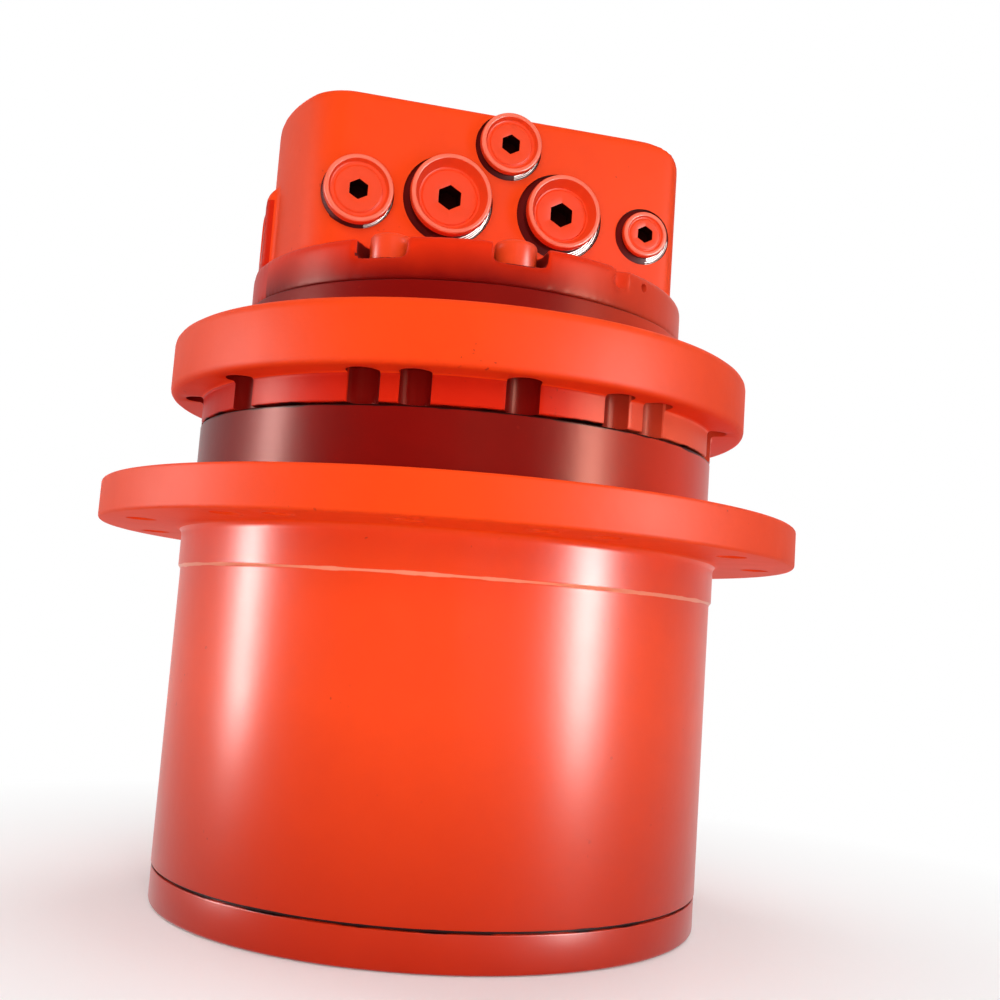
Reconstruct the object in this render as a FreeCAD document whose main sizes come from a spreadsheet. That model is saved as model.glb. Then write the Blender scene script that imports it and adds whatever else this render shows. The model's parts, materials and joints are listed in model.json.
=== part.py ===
# Excavator final drive: axial piston motor, two planetary stages and a turning drum.
# Millimetres. The drive stands on its end cover: origin at the middle of the cover's outer face,
# +Z along the drive axis towards the port block, the port face looks along -Y.

import FreeCAD, Part
import math
import os
import re
import Sketcher

Vector = FreeCAD.Vector
Rotation = FreeCAD.Rotation
Placement = FreeCAD.Placement

SIZES = {
    # End cover and the groove between cover and drum
    "cover_radius": 123.75,
    "cover_rim_height": 15.0,
    "cover_edge_chamfer": 1.5,
    "cover_face_recess": 1.5,
    "cover_recess_radius": 50.0,
    "cover_spigot_height": 6.0,
    "cover_spigot_wall": 15.0,
    "parting_groove_height": 1.2,
    "parting_groove_depth": 1.5,
    "cover_screw_circle_radius": 115.0,
    "cover_screw_count": 12,
    "cover_screw_radius": 4.0,
    "cover_screw_length": 26.0,
    "cover_screw_head_radius": 6.5,
    "cover_screw_head_height": 8.0,
    "cover_screw_sink": 0.8,
    "cover_screw_key": 6.0,
    "cover_plug_circle_radius": 70.0,
    "cover_plug_count": 3,
    "cover_plug_radius": 12.0,
    "cover_plug_sink": 1.0,
    "cover_plug_key": 10.0,
    "cover_seal_section": 1.2,
    "cover_seal_height": 3.4,
    # Drum, register and sprocket flange
    "drum_gear_wall": 14.0,
    "drum_bearing_wall": 19.0,
    "register_step": 1.0,
    "register_height": 18.7,
    "register_chamfer": 1.0,
    "register_fillet_share": 0.0959,
    "sprocket_face_height": 163.9,
    "sprocket_flange_radius": 161.5,
    "sprocket_flange_thickness": 17.4,
    "sprocket_edge_share": 0.0411,
    "sprocket_bolt_place_share": 0.548,
    "sprocket_bolt_count": 12,
    "sprocket_bolt_radius_share": 0.1644,
    "sprocket_dowel_radius_share": 0.1507,
    "dowel_angle": 20.0,
    "drum_turn": -18.0,
    "neck_wall": 13.2,
    "neck_height": 29.5,
    "neck_fillet": 3.0,
    # Frame flange with its pads, and the pilot
    "running_gap": 0.8,
    "pad_ring_share": 0.4714,
    "pad_ring_height": 12.0,
    "frame_flange_radius": 136.0,
    "frame_flange_thickness": 26.8,
    "frame_lower_edge_share": 0.2027,
    "frame_upper_edge_share": 0.129,
    "frame_bolt_place_share": 0.5484,
    "frame_bolt_count": 12,
    "frame_bolt_radius_share": 0.2258,
    "frame_dowel_radius_share": 0.2097,
    "pilot_radius": 105.0,
    "pilot_height": 15.6,
    # Fits
    "fit_gap": 0.05,
    "side_gap": 0.5,
    # Gears
    "gear_module": 2.75,
    "ring_teeth": 72,
    "stage_two_sun_teeth": 18,
    "stage_one_sun_teeth": 12,
    "tooth_height_above": 0.9,
    "tooth_depth_below": 1.15,
    "tooth_backlash": 0.5,
    "pressure_angle": 20.0,
    "ring_gear_radius": 110.0,
    "cover_to_gears": 9.0,
    "stage_one_width": 19.5,
    "stage_one_pin_radius": 12.0,
    "stage_one_pin_head": 4.0,
    "pin_head_thickness": 3.0,
    "carrier_radius": 76.0,
    "carrier_thickness": 9.0,
    "carrier_gap": 2.0,
    "sun_neck_radius": 20.0,
    "stage_two_sun_bore": 12.5,
    "sun_shaft_radius": 10.0,
    "sun_shaft_reach": 25.0,
    "stage_two_width": 36.5,
    "stage_two_pin_radius": 20.0,
    "stage_two_pin_head": 5.0,
    "planet_bush_wall": 4.0,
    "fixed_carrier_radius": 88.0,
    "fixed_carrier_thickness": 12.5,
    "fixed_carrier_bore": 30.0,
    "fixed_carrier_room": 18.0,
    "carrier_screw_circle_radius": 62.0,
    "carrier_screw_radius": 8.0,
    "carrier_screw_head_radius": 12.0,
    "carrier_screw_head_height": 16.0,
    "carrier_screw_reach": 15.0,
    "carrier_screw_key": 14.0,
    "thrust_pad_radius": 14.0,
    "thrust_pad_height": 7.0,
    "thrust_pad_seat": 2.0,
    # Main bearings
    "spindle_radius": 75.0,
    "bearing_outer_radius": 105.0,
    "bearing_height": 22.0,
    "bearing_spacing": 14.0,
    "race_wall_share": 0.2333,
    "race_rib_share": 0.0667,
    "race_rib_width": 2.7,
    "roller_gap": 0.05,
    "roller_end_gap": 0.3,
    "roller_count": 16,
    "cage_wall_share": 0.1,
    "cage_inset": 1.0,
    # Face seal between drum and housing
    "seal_neck_share": 0.4333,
    "seal_ring_inner_share": 0.5,
    "seal_ring_outer_share": 0.8,
    "seal_ring_end": 1.2,
    "seal_lip_share": 1.0333,
    "seal_lip_height": 3.0,
    "seal_bore_share": 1.1,
    "seal_plane_depth": 3.8,
    "seal_end_gap": 0.6,
    # Motor inside the spindle
    "spindle_floor": 19.0,
    "swash_bore_radius": 58.0,
    "motor_bore_radius": 64.0,
    "brake_above_cylinders": 20.05,
    "shaft_bearing_outer": 31.0,
    "shaft_bearing_inner": 20.0,
    "shaft_bearing_height": 14.0,
    "shaft_seal_radius": 26.0,
    "shaft_seal_height": 4.0,
    "shaft_radius": 17.0,
    "shaft_end_gap": 4.0,
    "block_shaft_radius": 15.0,
    "tail_shaft_radius": 12.0,
    "tail_bearing_radius": 22.0,
    "tail_bearing_height": 14.0,
    "cylinder_block_radius": 46.0,
    "swash_room_height": 52.95,
    "piston_count": 9,
    "piston_circle_radius": 34.0,
    "piston_radius": 8.0,
    "piston_end_room": 17.95,
    "piston_skirt": 11.0,
    "piston_neck_radius": 4.0,
    "cylinder_end_wall": 10.0,
    "cylinder_port_radius": 4.0,
    "valve_plate_thickness": 6.0,
    "valve_plate_bore": 18.0,
    "kidney_width": 8.0,
    "kidney_half_angle": 60.0,
    "swash_radius": 50.0,
    "swash_angle": 14.0,
    "swash_travel": 6.0,
    "swash_stop_gap": 0.3,
    "swash_centre_height": 22.0,
    "swash_hole_radius": 24.0,
    "pivot_ball_radius": 6.0,
    "pivot_ball_offset": 40.0,
    "pivot_axis_height": 2.0,
    "speed_piston_radius": 6.0,
    "speed_piston_nose": 2.0,
    "speed_piston_offset": 41.0,
    "speed_piston_length": 12.0,
    "slipper_radius": 9.5,
    "slipper_foot": 2.5,
    "slipper_cup_radius": 8.0,
    "slipper_cup_height": 9.0,
    "ball_radius": 6.0,
    "ball_height": 7.0,
    "retainer_radius": 47.0,
    "retainer_bore": 21.0,
    "retainer_thickness": 2.5,
    # Parking brake
    "brake_plate_thickness": 2.0,
    "brake_disc_count": 3,
    "brake_disc_radius": 60.0,
    "brake_gap": 0.1,
    "brake_piston_inner": 50.0,
    "brake_piston_share": 0.5556,
    "brake_spring_share": 0.49,
    "brake_spring_count": 3,
    "brake_spring_inner": 51.0,
    "brake_spring_outer": 63.0,
    # Port block
    "block_spigot_depth": 10.0,
    "foot_radius": 103.5,
    "foot_height": 19.0,
    "block_radius": 97.5,
    "block_height": 94.4,
    "port_face_distance": 56.0,
    "block_right_side": 86.5,
    "face_left_round": 22.0,
    "block_shoulder_round": 14.0,
    "block_edge_round": 8.5,
    "ear_side": 101.5,
    "ear_inner_side": 80.0,
    "ear_half_width": 20.0,
    "ear_top": 60.0,
    "ear_round": 9.0,
    "ear_hole_radius": 4.5,
    "ear_hole_height": 20.0,
    "ear_hole_depth": 9.0,
    "ear_hole_angle": -88.0,
    "pin_hole_radius": 2.0,
    "pin_hole_height": 14.0,
    "pin_hole_depth": 8.0,
    "pin_hole_angle": 36.0,
    "foot_notch_radius": 3.5,
    "foot_notch_circle_radius": 102.0,
    "foot_notch_angle": 27.5,
    "foot_seal_radius": 70.0,
    "foot_seal_section": 1.45,
    "block_screw_circle_radius": 92.0,
    "block_screw_radius": 6.0,
    "block_screw_length": 34.0,
    "block_screw_head_radius": 9.0,
    "block_screw_head_height": 11.2,
    "block_screw_key": 10.0,
    "block_screw_seat": 10.5,
    "screw_pocket_radius": 11.5,
    "front_screw_angle": 33.0,
    "side_screw_angle": 78.0,
    "rear_screw_step": 39.0,
    "oil_passage_radius": 5.0,
    # Ports and their plugs, seen on the port face
    "port_centre": 2.0,
    "large_port_offset": 25.9,
    "large_port_height": 50.0,
    "large_port_radius": 12.5,
    "large_port_depth": 24.0,
    "left_plug_radius": 18.2,
    "right_plug_radius": 17.0,
    "large_plug_height": 9.0,
    "large_plug_collar": 19.2,
    "large_plug_chamfer": 2.6,
    "large_plug_rim": 2.4,
    "large_plug_key": 10.0,
    "outer_port_offset": 66.4,
    "outer_port_height": 47.0,
    "medium_port_radius": 9.5,
    "medium_port_depth": 18.0,
    "drain_plug_radius": 15.3,
    "case_plug_radius": 14.1,
    "medium_plug_height": 6.5,
    "medium_plug_collar": 16.0,
    "medium_plug_chamfer": 1.2,
    "medium_plug_rim": 1.8,
    "medium_plug_key": 8.0,
    "top_port_height": 78.7,
    "small_port_radius": 6.5,
    "small_port_depth": 14.0,
    "small_plug_radius": 10.6,
    "small_plug_height": 4.6,
    "small_plug_collar": 13.0,
    "small_plug_chamfer": 0.8,
    "small_plug_rim": 1.4,
    "small_plug_key": 7.0,
    "plug_collar_height": 1.6,
    "plug_dish_depth": 1.6,
    "plug_end_gap": 2.0,
    # Counterbalance spool
    "spool_radius": 11.0,
    "spool_height": 41.0,
    "spool_side": 4.0,
    "spool_half_length": 40.0,
    "spool_groove_depth": 2.5,
    "spool_groove_width": 9.0,
    "spool_groove_offset": 18.0,
    "spool_plug_radius": 15.0,
    "spool_plug_inset": 64.0,
    "spool_plug_sink": 1.0,
    "spool_plug_key": 12.0,
    "spool_spring_radius": 9.0,
    "spool_spring_wall": 2.5,
}

doc = FreeCAD.newDocument("final_drive")
sheet = doc.addObject("Spreadsheet::Sheet", "Sizes")
for row, (alias, number) in enumerate(SIZES.items(), 1):
    sheet.set("A%d" % row, alias)
    sheet.set("B%d" % row, str(number))
    sheet.setAlias("B%d" % row, alias)
doc.recompute()

# Main bearings and face seal: each wall is a share of the bearing's section
BEARING_SECTION = "(bearing_outer_radius - spindle_radius)"
RACE_WALL = "(race_wall_share * %s)" % BEARING_SECTION
RACE_RIB = "(race_rib_share * %s)" % BEARING_SECTION
CAGE_WALL = "(cage_wall_share * %s)" % BEARING_SECTION
INNER_RACEWAY = "(spindle_radius + %s)" % RACE_WALL
OUTER_RACEWAY = "(bearing_outer_radius - %s - %s / 2)" % (RACE_WALL, RACE_RIB)
ROLLER_CIRCLE = "((%s + %s) / 2)" % (INNER_RACEWAY, OUTER_RACEWAY)
ROLLER_RADIUS = "((%s - %s) / 2 - roller_gap)" % (OUTER_RACEWAY, INNER_RACEWAY)
ROLLER_LENGTH = "(bearing_height - 2 * race_rib_width - 2 * roller_end_gap)"
SEAL_NECK_RADIUS = "(spindle_radius + seal_neck_share * %s)" % BEARING_SECTION
SEAL_RING_INNER = "(spindle_radius + seal_ring_inner_share * %s)" % BEARING_SECTION
SEAL_RING_OUTER = "(spindle_radius + seal_ring_outer_share * %s)" % BEARING_SECTION
SEAL_LIP_RADIUS = "(spindle_radius + seal_lip_share * %s)" % BEARING_SECTION
SEAL_BORE_RADIUS = "(spindle_radius + seal_bore_share * %s)" % BEARING_SECTION
SEAL_RUBBER = "((%s - %s) / 2 - 2 * fit_gap)" % (SEAL_BORE_RADIUS, SEAL_RING_OUTER)

# Outer radii, and the bolt circles as shares of each flange's overhang
DRUM_RADIUS = "max(ring_gear_radius + drum_gear_wall; bearing_outer_radius + drum_bearing_wall)"
REGISTER_RADIUS = "(%s + register_step)" % DRUM_RADIUS
NECK_RADIUS = "(%s + neck_wall)" % SEAL_BORE_RADIUS
SPROCKET_OVERHANG = "(sprocket_flange_radius - %s)" % REGISTER_RADIUS
REGISTER_FILLET = "(register_fillet_share * %s)" % SPROCKET_OVERHANG
SPROCKET_EDGE = "(sprocket_edge_share * %s)" % SPROCKET_OVERHANG
SPROCKET_BOLT_CIRCLE = "(%s + sprocket_bolt_place_share * %s)" % (REGISTER_RADIUS, SPROCKET_OVERHANG)
SPROCKET_BOLT_RADIUS = "(sprocket_bolt_radius_share * %s)" % SPROCKET_OVERHANG
SPROCKET_DOWEL_RADIUS = "(sprocket_dowel_radius_share * %s)" % SPROCKET_OVERHANG
PAD_RING_RADIUS = "(%s + pad_ring_share * (frame_flange_radius - %s))" % (SEAL_BORE_RADIUS, SEAL_BORE_RADIUS)
FRAME_OVERHANG = "(frame_flange_radius - pilot_radius)"
FRAME_BOLT_CIRCLE = "(pilot_radius + frame_bolt_place_share * %s)" % FRAME_OVERHANG
FRAME_BOLT_RADIUS = "(frame_bolt_radius_share * %s)" % FRAME_OVERHANG
FRAME_DOWEL_RADIUS = "(frame_dowel_radius_share * %s)" % FRAME_OVERHANG
FRAME_LOWER_EDGE = "(frame_lower_edge_share * (frame_flange_radius - %s))" % PAD_RING_RADIUS
FRAME_UPPER_EDGE = "(frame_upper_edge_share * %s)" % FRAME_OVERHANG

# Heights of the stack, each worked out from the sizes below it
SPIGOT_TOP = "(cover_rim_height + cover_spigot_height)"
STAGE_ONE_BOTTOM = "(cover_rim_height + cover_to_gears)"
STAGE_ONE_TOP = "(%s + stage_one_width)" % STAGE_ONE_BOTTOM
CARRIER_BOTTOM = "(%s + side_gap)" % STAGE_ONE_TOP
CARRIER_TOP = "(%s + carrier_thickness)" % CARRIER_BOTTOM
PIN_HEAD_BOTTOM = "(%s + carrier_gap)" % CARRIER_TOP
STAGE_TWO_BOTTOM = "(%s + pin_head_thickness + side_gap)" % PIN_HEAD_BOTTOM
STAGE_TWO_TOP = "(%s + stage_two_width)" % STAGE_TWO_BOTTOM
RING_GEAR_TOP = "(%s + 2 * side_gap)" % STAGE_TWO_TOP
FIXED_CARRIER_BOTTOM = "(%s + side_gap)" % STAGE_TWO_TOP
SPINDLE_END = "(%s + fixed_carrier_thickness)" % FIXED_CARRIER_BOTTOM
DRUM_SHOULDER = "(%s + bearing_height)" % SPINDLE_END
UPPER_BEARING = "(%s + bearing_spacing)" % DRUM_SHOULDER
SPINDLE_SHOULDER = "(%s + bearing_height)" % UPPER_BEARING
SPROCKET_FLANGE_TOP = "(sprocket_face_height + sprocket_flange_thickness)"
HUB_TOP = "(%s + neck_height)" % SPROCKET_FLANGE_TOP
HOUSING_BOTTOM = "(%s + running_gap)" % HUB_TOP
FRAME_FLANGE_BOTTOM = "(%s + pad_ring_height)" % HOUSING_BOTTOM
FRAME_FACE = "(%s + frame_flange_thickness)" % FRAME_FLANGE_BOTTOM
JOINT_PLANE = "(%s + pilot_height)" % FRAME_FACE
SEAL_PLANE = "(%s - seal_plane_depth)" % HUB_TOP
SEAL_RING_HEIGHT = "(seal_lip_height + 2 * %s + seal_ring_end)" % SEAL_RUBBER
SEAL_ROOM = "(%s + seal_end_gap)" % SEAL_RING_HEIGHT
FLOOR_TOP = "(%s + spindle_floor)" % SPINDLE_END
SHAFT_BOTTOM = "(%s + shaft_end_gap)" % FIXED_CARRIER_BOTTOM
BLOCK_SPIGOT_BOTTOM = "(%s - block_spigot_depth)" % JOINT_PLANE
VALVE_PLATE_BOTTOM = "(%s - valve_plate_thickness)" % BLOCK_SPIGOT_BOTTOM
CYLINDER_TOP = "(%s - fit_gap)" % VALVE_PLATE_BOTTOM
CYLINDER_BOTTOM = "(%s + swash_room_height)" % FLOOR_TOP
CYLINDER_END = "(%s - cylinder_end_wall)" % CYLINDER_TOP
PISTON_BALL = "(%s + swash_centre_height + ball_height)" % FLOOR_TOP
PISTON_REACH = "(%s - %s - piston_end_room)" % (CYLINDER_END, PISTON_BALL)
BRAKE_SHOULDER = "(%s + brake_above_cylinders)" % CYLINDER_BOTTOM
BRAKE_PITCH = "(2 * (brake_plate_thickness + brake_gap))"
BRAKE_TOP = "(%s + brake_disc_count * %s + brake_plate_thickness)" % (BRAKE_SHOULDER, BRAKE_PITCH)
BRAKE_ROOM = "(%s - %s)" % (BLOCK_SPIGOT_BOTTOM, BRAKE_TOP)
BRAKE_PISTON_TOP = "(%s + brake_gap + brake_piston_share * %s)" % (BRAKE_TOP, BRAKE_ROOM)
FOOT_TOP = "(%s + foot_height)" % JOINT_PLANE
BLOCK_TOP = "(%s + block_height)" % JOINT_PLANE
SCREW_SEAT = "(%s + block_screw_seat)" % JOINT_PLANE
SPOOL_AXIS = "(%s + spool_height)" % JOINT_PLANE

# Gear tooth counts and radii
RING_PITCH = "(gear_module * ring_teeth / 2)"
STAGE_TWO_PLANET_TEETH = "((ring_teeth - stage_two_sun_teeth) / 2)"
STAGE_ONE_PLANET_TEETH = "((ring_teeth - stage_one_sun_teeth) / 2)"
STAGE_TWO_CENTRES = "(gear_module * (stage_two_sun_teeth + %s) / 2)" % STAGE_TWO_PLANET_TEETH
STAGE_ONE_CENTRES = "(gear_module * (stage_one_sun_teeth + %s) / 2)" % STAGE_ONE_PLANET_TEETH
COVER_SPIGOT = "(ring_gear_radius - fit_gap)"

PLANET_LETTERS = "abc"
FIRST_PLANET_ANGLE = 90
FIRST_PISTON_ANGLE = 90
PORT_SIDE = -90
DRUM_TURN = "%d + drum_turn" % PORT_SIDE

subparts = []


def formula(text):
    """Put the sheet's name before every size in an expression."""
    return re.sub(r"[a-z_]{3,}", lambda word: ("Sizes." if word.group() in SIZES else "") + word.group(), text)


def size(text):
    """Work out an expression of sizes as a number."""
    return float(sheet.evalExpression(formula(text)))


def bind(item, name, text):
    """Tie a property of a document object to an expression of sizes."""
    item.setExpression(name, formula(text))


def new_body(name):
    """Start a body that becomes one sub-part."""
    body = doc.addObject("PartDesign::Body", name)
    body.Label = name
    body.AllowCompound = True
    subparts.append(body)
    return body


def origin_item(body, role):
    """Find a plane or axis of the body's origin."""
    return [item for item in body.Origin.OriginFeatures if item.Role == role][0]


def new_sketch(body, name, plane, height="0", turn="0"):
    """Start a sketch on an origin plane of the body, moved along the plane's normal and turned about it."""
    sketch = body.newObject("Sketcher::SketchObject", name)
    sketch.AttachmentSupport = (origin_item(body, plane), [""])
    sketch.MapMode = "FlatFace"
    bind(sketch, ".AttachmentOffset.Base.z", height)
    bind(sketch, ".AttachmentOffset.Rotation.Angle", turn)
    return sketch


def place_point(sketch, item, point, across, along):
    """Hold a point of the sketch at two expressions of sizes, whichever side of the axes it lies."""
    for kind, text, axis in (("DistanceX", across, -2), ("DistanceY", along, -1)):
        number = size(text)
        if abs(number) < 1e-9:
            sketch.addConstraint(Sketcher.Constraint("PointOnObject", item, point, axis))
        elif number > 0:
            index = sketch.addConstraint(Sketcher.Constraint(kind, -1, 1, item, point, number))
            bind(sketch, "Constraints[%d]" % index, text)
        else:
            index = sketch.addConstraint(Sketcher.Constraint(kind, item, point, -1, 1, -number))
            bind(sketch, "Constraints[%d]" % index, "-(%s)" % text)


def outline(sketch, points):
    """Draw a closed outline of straight lines through points given as expressions."""
    first = sketch.GeometryCount
    count = len(points)
    corners = [Vector(size(across), size(along), 0) for across, along in points]
    for index in range(count):
        sketch.addGeometry(Part.LineSegment(corners[index], corners[(index + 1) % count]), False)
    for index in range(count):
        following = first + (index + 1) % count
        sketch.addConstraint(Sketcher.Constraint("Coincident", first + index, 2, following, 1))
    for index, (across, along) in enumerate(points):
        place_point(sketch, first + index, 1, across, along)


def circle(sketch, across, along, radius):
    """Draw a circle whose centre and radius are expressions."""
    centre = Vector(size(across), size(along), 0)
    item = sketch.addGeometry(Part.Circle(centre, Vector(0, 0, 1), size(radius)), False)
    place_point(sketch, item, 3, across, along)
    index = sketch.addConstraint(Sketcher.Constraint("Radius", item, size(radius)))
    bind(sketch, "Constraints[%d]" % index, radius)


def hexagon(sketch, across, along, flats):
    """Draw a hexagon for a key, its size measured across the flats."""
    points = []
    for corner in range(6):
        side, up = polar("%s / sqrt(3)" % flats, "%d" % (60 * corner))
        points.append(("%s + %s" % (across, side), "%s + %s" % (along, up)))
    outline(sketch, points)


def sector(sketch, inner, outer, half_angle):
    """Draw a slot bent round the sketch's origin, as much above the X axis as below it."""
    arcs = []
    for radius in (inner, outer):
        reach = math.radians(size(half_angle))
        ring = Part.Circle(Vector(), Vector(0, 0, 1), size(radius))
        arc = sketch.addGeometry(Part.ArcOfCircle(ring, -reach, reach), False)
        sketch.addConstraint(Sketcher.Constraint("Coincident", arc, 3, -1, 1))
        across, along = polar(radius, "-(%s)" % half_angle)
        place_point(sketch, arc, 1, across, along)
        sketch.addConstraint(Sketcher.Constraint("Symmetric", arc, 1, arc, 2, -1))
        arcs.append(arc)
    for end in (1, 2):
        near, far = [sketch.getPoint(arc, end) for arc in arcs]
        line = sketch.addGeometry(Part.LineSegment(near, far), False)
        sketch.addConstraint(Sketcher.Constraint("Coincident", line, 1, arcs[0], end))
        sketch.addConstraint(Sketcher.Constraint("Coincident", line, 2, arcs[1], end))


def polar(radius, angle):
    """Give the two coordinates of a point at a radius and an angle, as expressions."""
    return "(%s) * cos(%s)" % (radius, angle), "(%s) * sin(%s)" % (radius, angle)


def turned(name, *profiles):
    """Turn one or more closed profiles, given as radius and height, about the body's Z axis."""
    body = new_body(name)
    sketch = new_sketch(body, name + "_profile", "XZ_Plane")
    for profile in profiles:
        outline(sketch, profile)
    revolution = body.newObject("PartDesign::Revolution", name + "_turned")
    revolution.Profile = sketch
    revolution.ReferenceAxis = (sketch, ["V_Axis"])
    revolution.Angle = 360
    return body


def ring_profile(inner, outer, bottom, top):
    """Give the rectangular profile of a plain ring."""
    return [(inner, bottom), (outer, bottom), (outer, top), (inner, top)]


def pad(body, sketch, length):
    """Grow the sketch along its normal by an expression."""
    feature = body.newObject("PartDesign::Pad", sketch.Name + "_pad")
    feature.Profile = sketch
    bind(feature, "Length", length)
    return feature


def pocket(body, sketch, depth, along_normal=False):
    """Cut the sketch into the body, against its normal or along it."""
    feature = body.newObject("PartDesign::Pocket", sketch.Name + "_cut")
    feature.Profile = sketch
    feature.Reversed = along_normal
    bind(feature, "Length", depth)
    return feature


def repeat(body, features, count):
    """Repeat features about the body's Z axis, evenly all round."""
    pattern = body.newObject("PartDesign::PolarPattern", features[-1].Name + "_ring")
    pattern.Originals = features
    pattern.Axis = (origin_item(body, "Z_Axis"), [""])
    pattern.Angle = 360
    bind(pattern, "Occurrences", count)
    body.Tip = pattern
    return pattern


def hole_ring(body, name, height, depth, circle_radius, radius, count, turn="0"):
    """Drill a ring of round holes upwards from a height."""
    sketch = new_sketch(body, name, "XY_Plane", height, turn)
    circle(sketch, circle_radius, "0", radius)
    return repeat(body, [pocket(body, sketch, depth, along_normal=True)], count)


def holes_at(body, name, height, depth, spots, radius, upwards=True):
    """Drill round holes at given spots, all from one height."""
    sketch = new_sketch(body, name, "XY_Plane", height)
    for across, along in spots:
        circle(sketch, across, along, radius)
    return pocket(body, sketch, depth, along_normal=upwards)


def posts_at(body, name, height, length, spots, radius):
    """Stand round posts at given spots, all from one height."""
    sketch = new_sketch(body, name, "XY_Plane", height)
    for across, along in spots:
        circle(sketch, across, along, radius)
    return pad(body, sketch, length)


def sockets_at(body, name, height, depth, spots, flats, upwards=False):
    """Cut hexagon sockets at given spots, down from a height or up from it."""
    sketch = new_sketch(body, name, "XY_Plane", height)
    for across, along in spots:
        hexagon(sketch, across, along, flats)
    return pocket(body, sketch, depth, along_normal=upwards)


def radial_hole(body, name, angle, start, height, radius, depth):
    """Drill a round hole towards the axis, from a radius and at an angle from the port side."""
    hole = body.newObject("PartDesign::SubtractiveCylinder", name)
    direction = math.radians(PORT_SIDE + size(angle))
    outwards = Vector(math.cos(direction), math.sin(direction), 0)
    hole.Placement = Placement(Vector(), Rotation(Vector(0, 0, 1), outwards))
    across, along = polar("%s - %s" % (start, depth), "%d + %s" % (PORT_SIDE, angle))
    bind(hole, ".Placement.Base.x", across)
    bind(hole, ".Placement.Base.y", along)
    bind(hole, ".Placement.Base.z", height)
    bind(hole, "Radius", radius)
    bind(hole, "Height", "2 * %s" % depth)
    return hole


def edges_where(feature, test):
    """Name the edges of a feature that pass a test."""
    doc.recompute()
    return ["Edge%d" % number for number, edge in enumerate(feature.Shape.Edges, 1) if test(edge)]


def is_ring(edge, radius, height):
    """Tell whether an edge is a whole circle about the Z axis with this radius at this height."""
    curve = edge.Curve
    if not isinstance(curve, Part.Circle) or abs(curve.Radius - radius) > 0.01:
        return False
    return abs(curve.Center.z - height) < 0.01 and math.hypot(curve.Center.x, curve.Center.y) < 0.01


def is_upright(edge, across, along):
    """Tell whether an edge stands upright at a place."""
    box = edge.BoundBox
    if box.XLength > 0.01 or box.YLength > 0.01:
        return False
    return abs(box.XMin - across) < 0.05 and abs(box.YMin - along) < 0.05


def round_edges(body, name, base, test, radius):
    """Round the edges of a feature that pass a test."""
    feature = body.newObject("PartDesign::Fillet", name)
    feature.Base = (base, edges_where(base, test))
    bind(feature, "Radius", radius)
    return feature


def bevel_edges(body, name, base, test, width):
    """Bevel the edges of a feature that pass a test."""
    feature = body.newObject("PartDesign::Chamfer", name)
    feature.Base = (base, edges_where(base, test))
    bind(feature, "Size", width)
    return feature


def shaped(name, shape, placement=None):
    """Keep a shape made in code as one sub-part."""
    feature = doc.addObject("Part::Feature", name)
    feature.Label = name
    feature.Shape = shape
    feature.Placement = placement or Placement()
    subparts.append(feature)
    return feature


def rubber_ring(name, ring_radius, section_radius, height):
    """Make a rubber ring of round section."""
    ring = doc.addObject("Part::Torus", name)
    ring.Label = name
    bind(ring, "Radius1", ring_radius)
    bind(ring, "Radius2", section_radius)
    bind(ring, ".Placement.Base.z", height)
    subparts.append(ring)


# Places of planets and screws

def planet_spots(centres):
    """Give the places of three planets on a circle."""
    return [polar(centres, "%d" % (FIRST_PLANET_ANGLE + 120 * index)) for index in range(3)]


def carrier_screw_spots():
    """Give the places of the fixed carrier's screws, midway between the planets."""
    angles = [FIRST_PLANET_ANGLE - 60 + 120 * index for index in range(3)]
    return [polar("carrier_screw_circle_radius", "%d" % angle) for angle in angles]


def block_screw_angles():
    """Give the angles of the port block's cap screws, counted from the port side."""
    rear = ["side_screw_angle + %d * rear_screw_step" % index for index in range(5)]
    return ["0", "-front_screw_angle"] + rear


def block_screw_spots():
    """Give the places of the port block's cap screws."""
    return [polar("block_screw_circle_radius", "%d + %s" % (PORT_SIDE, angle)) for angle in block_screw_angles()]


def pivot_spots():
    """Give the places of the two balls that the swash plate tilts on."""
    return [("pivot_ball_offset", "0"), ("-pivot_ball_offset", "0")]


# Gear teeth

def involute(angle):
    """Give the involute of a pressure angle in radians."""
    return math.tan(angle) - angle


def tooth_half_angle(radius, teeth, thinning):
    """Give half the angle that an involute tooth takes up at a radius."""
    pitch = size("gear_module") * teeth / 2
    pressure = math.radians(size("pressure_angle"))
    here = math.acos(min(1.0, pitch * math.cos(pressure) / radius))
    return math.pi / 2 / teeth - thinning / (2 * pitch) + involute(pressure) - involute(here)


def toothed_face(teeth, first_angle, inner_radius, outer_radius, thinning):
    """Make the face inside a ring of teeth with straight flanks, one tooth at an angle in degrees."""
    root_half = tooth_half_angle(inner_radius, teeth, thinning)
    tip_half = tooth_half_angle(outer_radius, teeth, thinning)
    corners = []
    for tooth in range(teeth):
        middle = math.radians(first_angle) + 2 * math.pi * tooth / teeth
        for radius, turn in ((inner_radius, -root_half), (outer_radius, -tip_half),
                             (outer_radius, tip_half), (inner_radius, root_half)):
            corners.append(Vector(radius * math.cos(middle + turn), radius * math.sin(middle + turn), 0))
    return Part.Face(Part.makePolygon(corners + corners[:1]))


def spur_gear(teeth, first_angle, width, bore=0.0):
    """Make an external gear standing on the XY plane."""
    pitch = size("gear_module") * teeth / 2
    root = pitch - size("gear_module * tooth_depth_below")
    tip = pitch + size("gear_module * tooth_height_above")
    gear = toothed_face(teeth, first_angle, root, tip, size("tooth_backlash") / 2).extrude(Vector(0, 0, width))
    return gear.cut(Part.makeCylinder(bore, width)) if bore else gear


# Gear train

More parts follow.
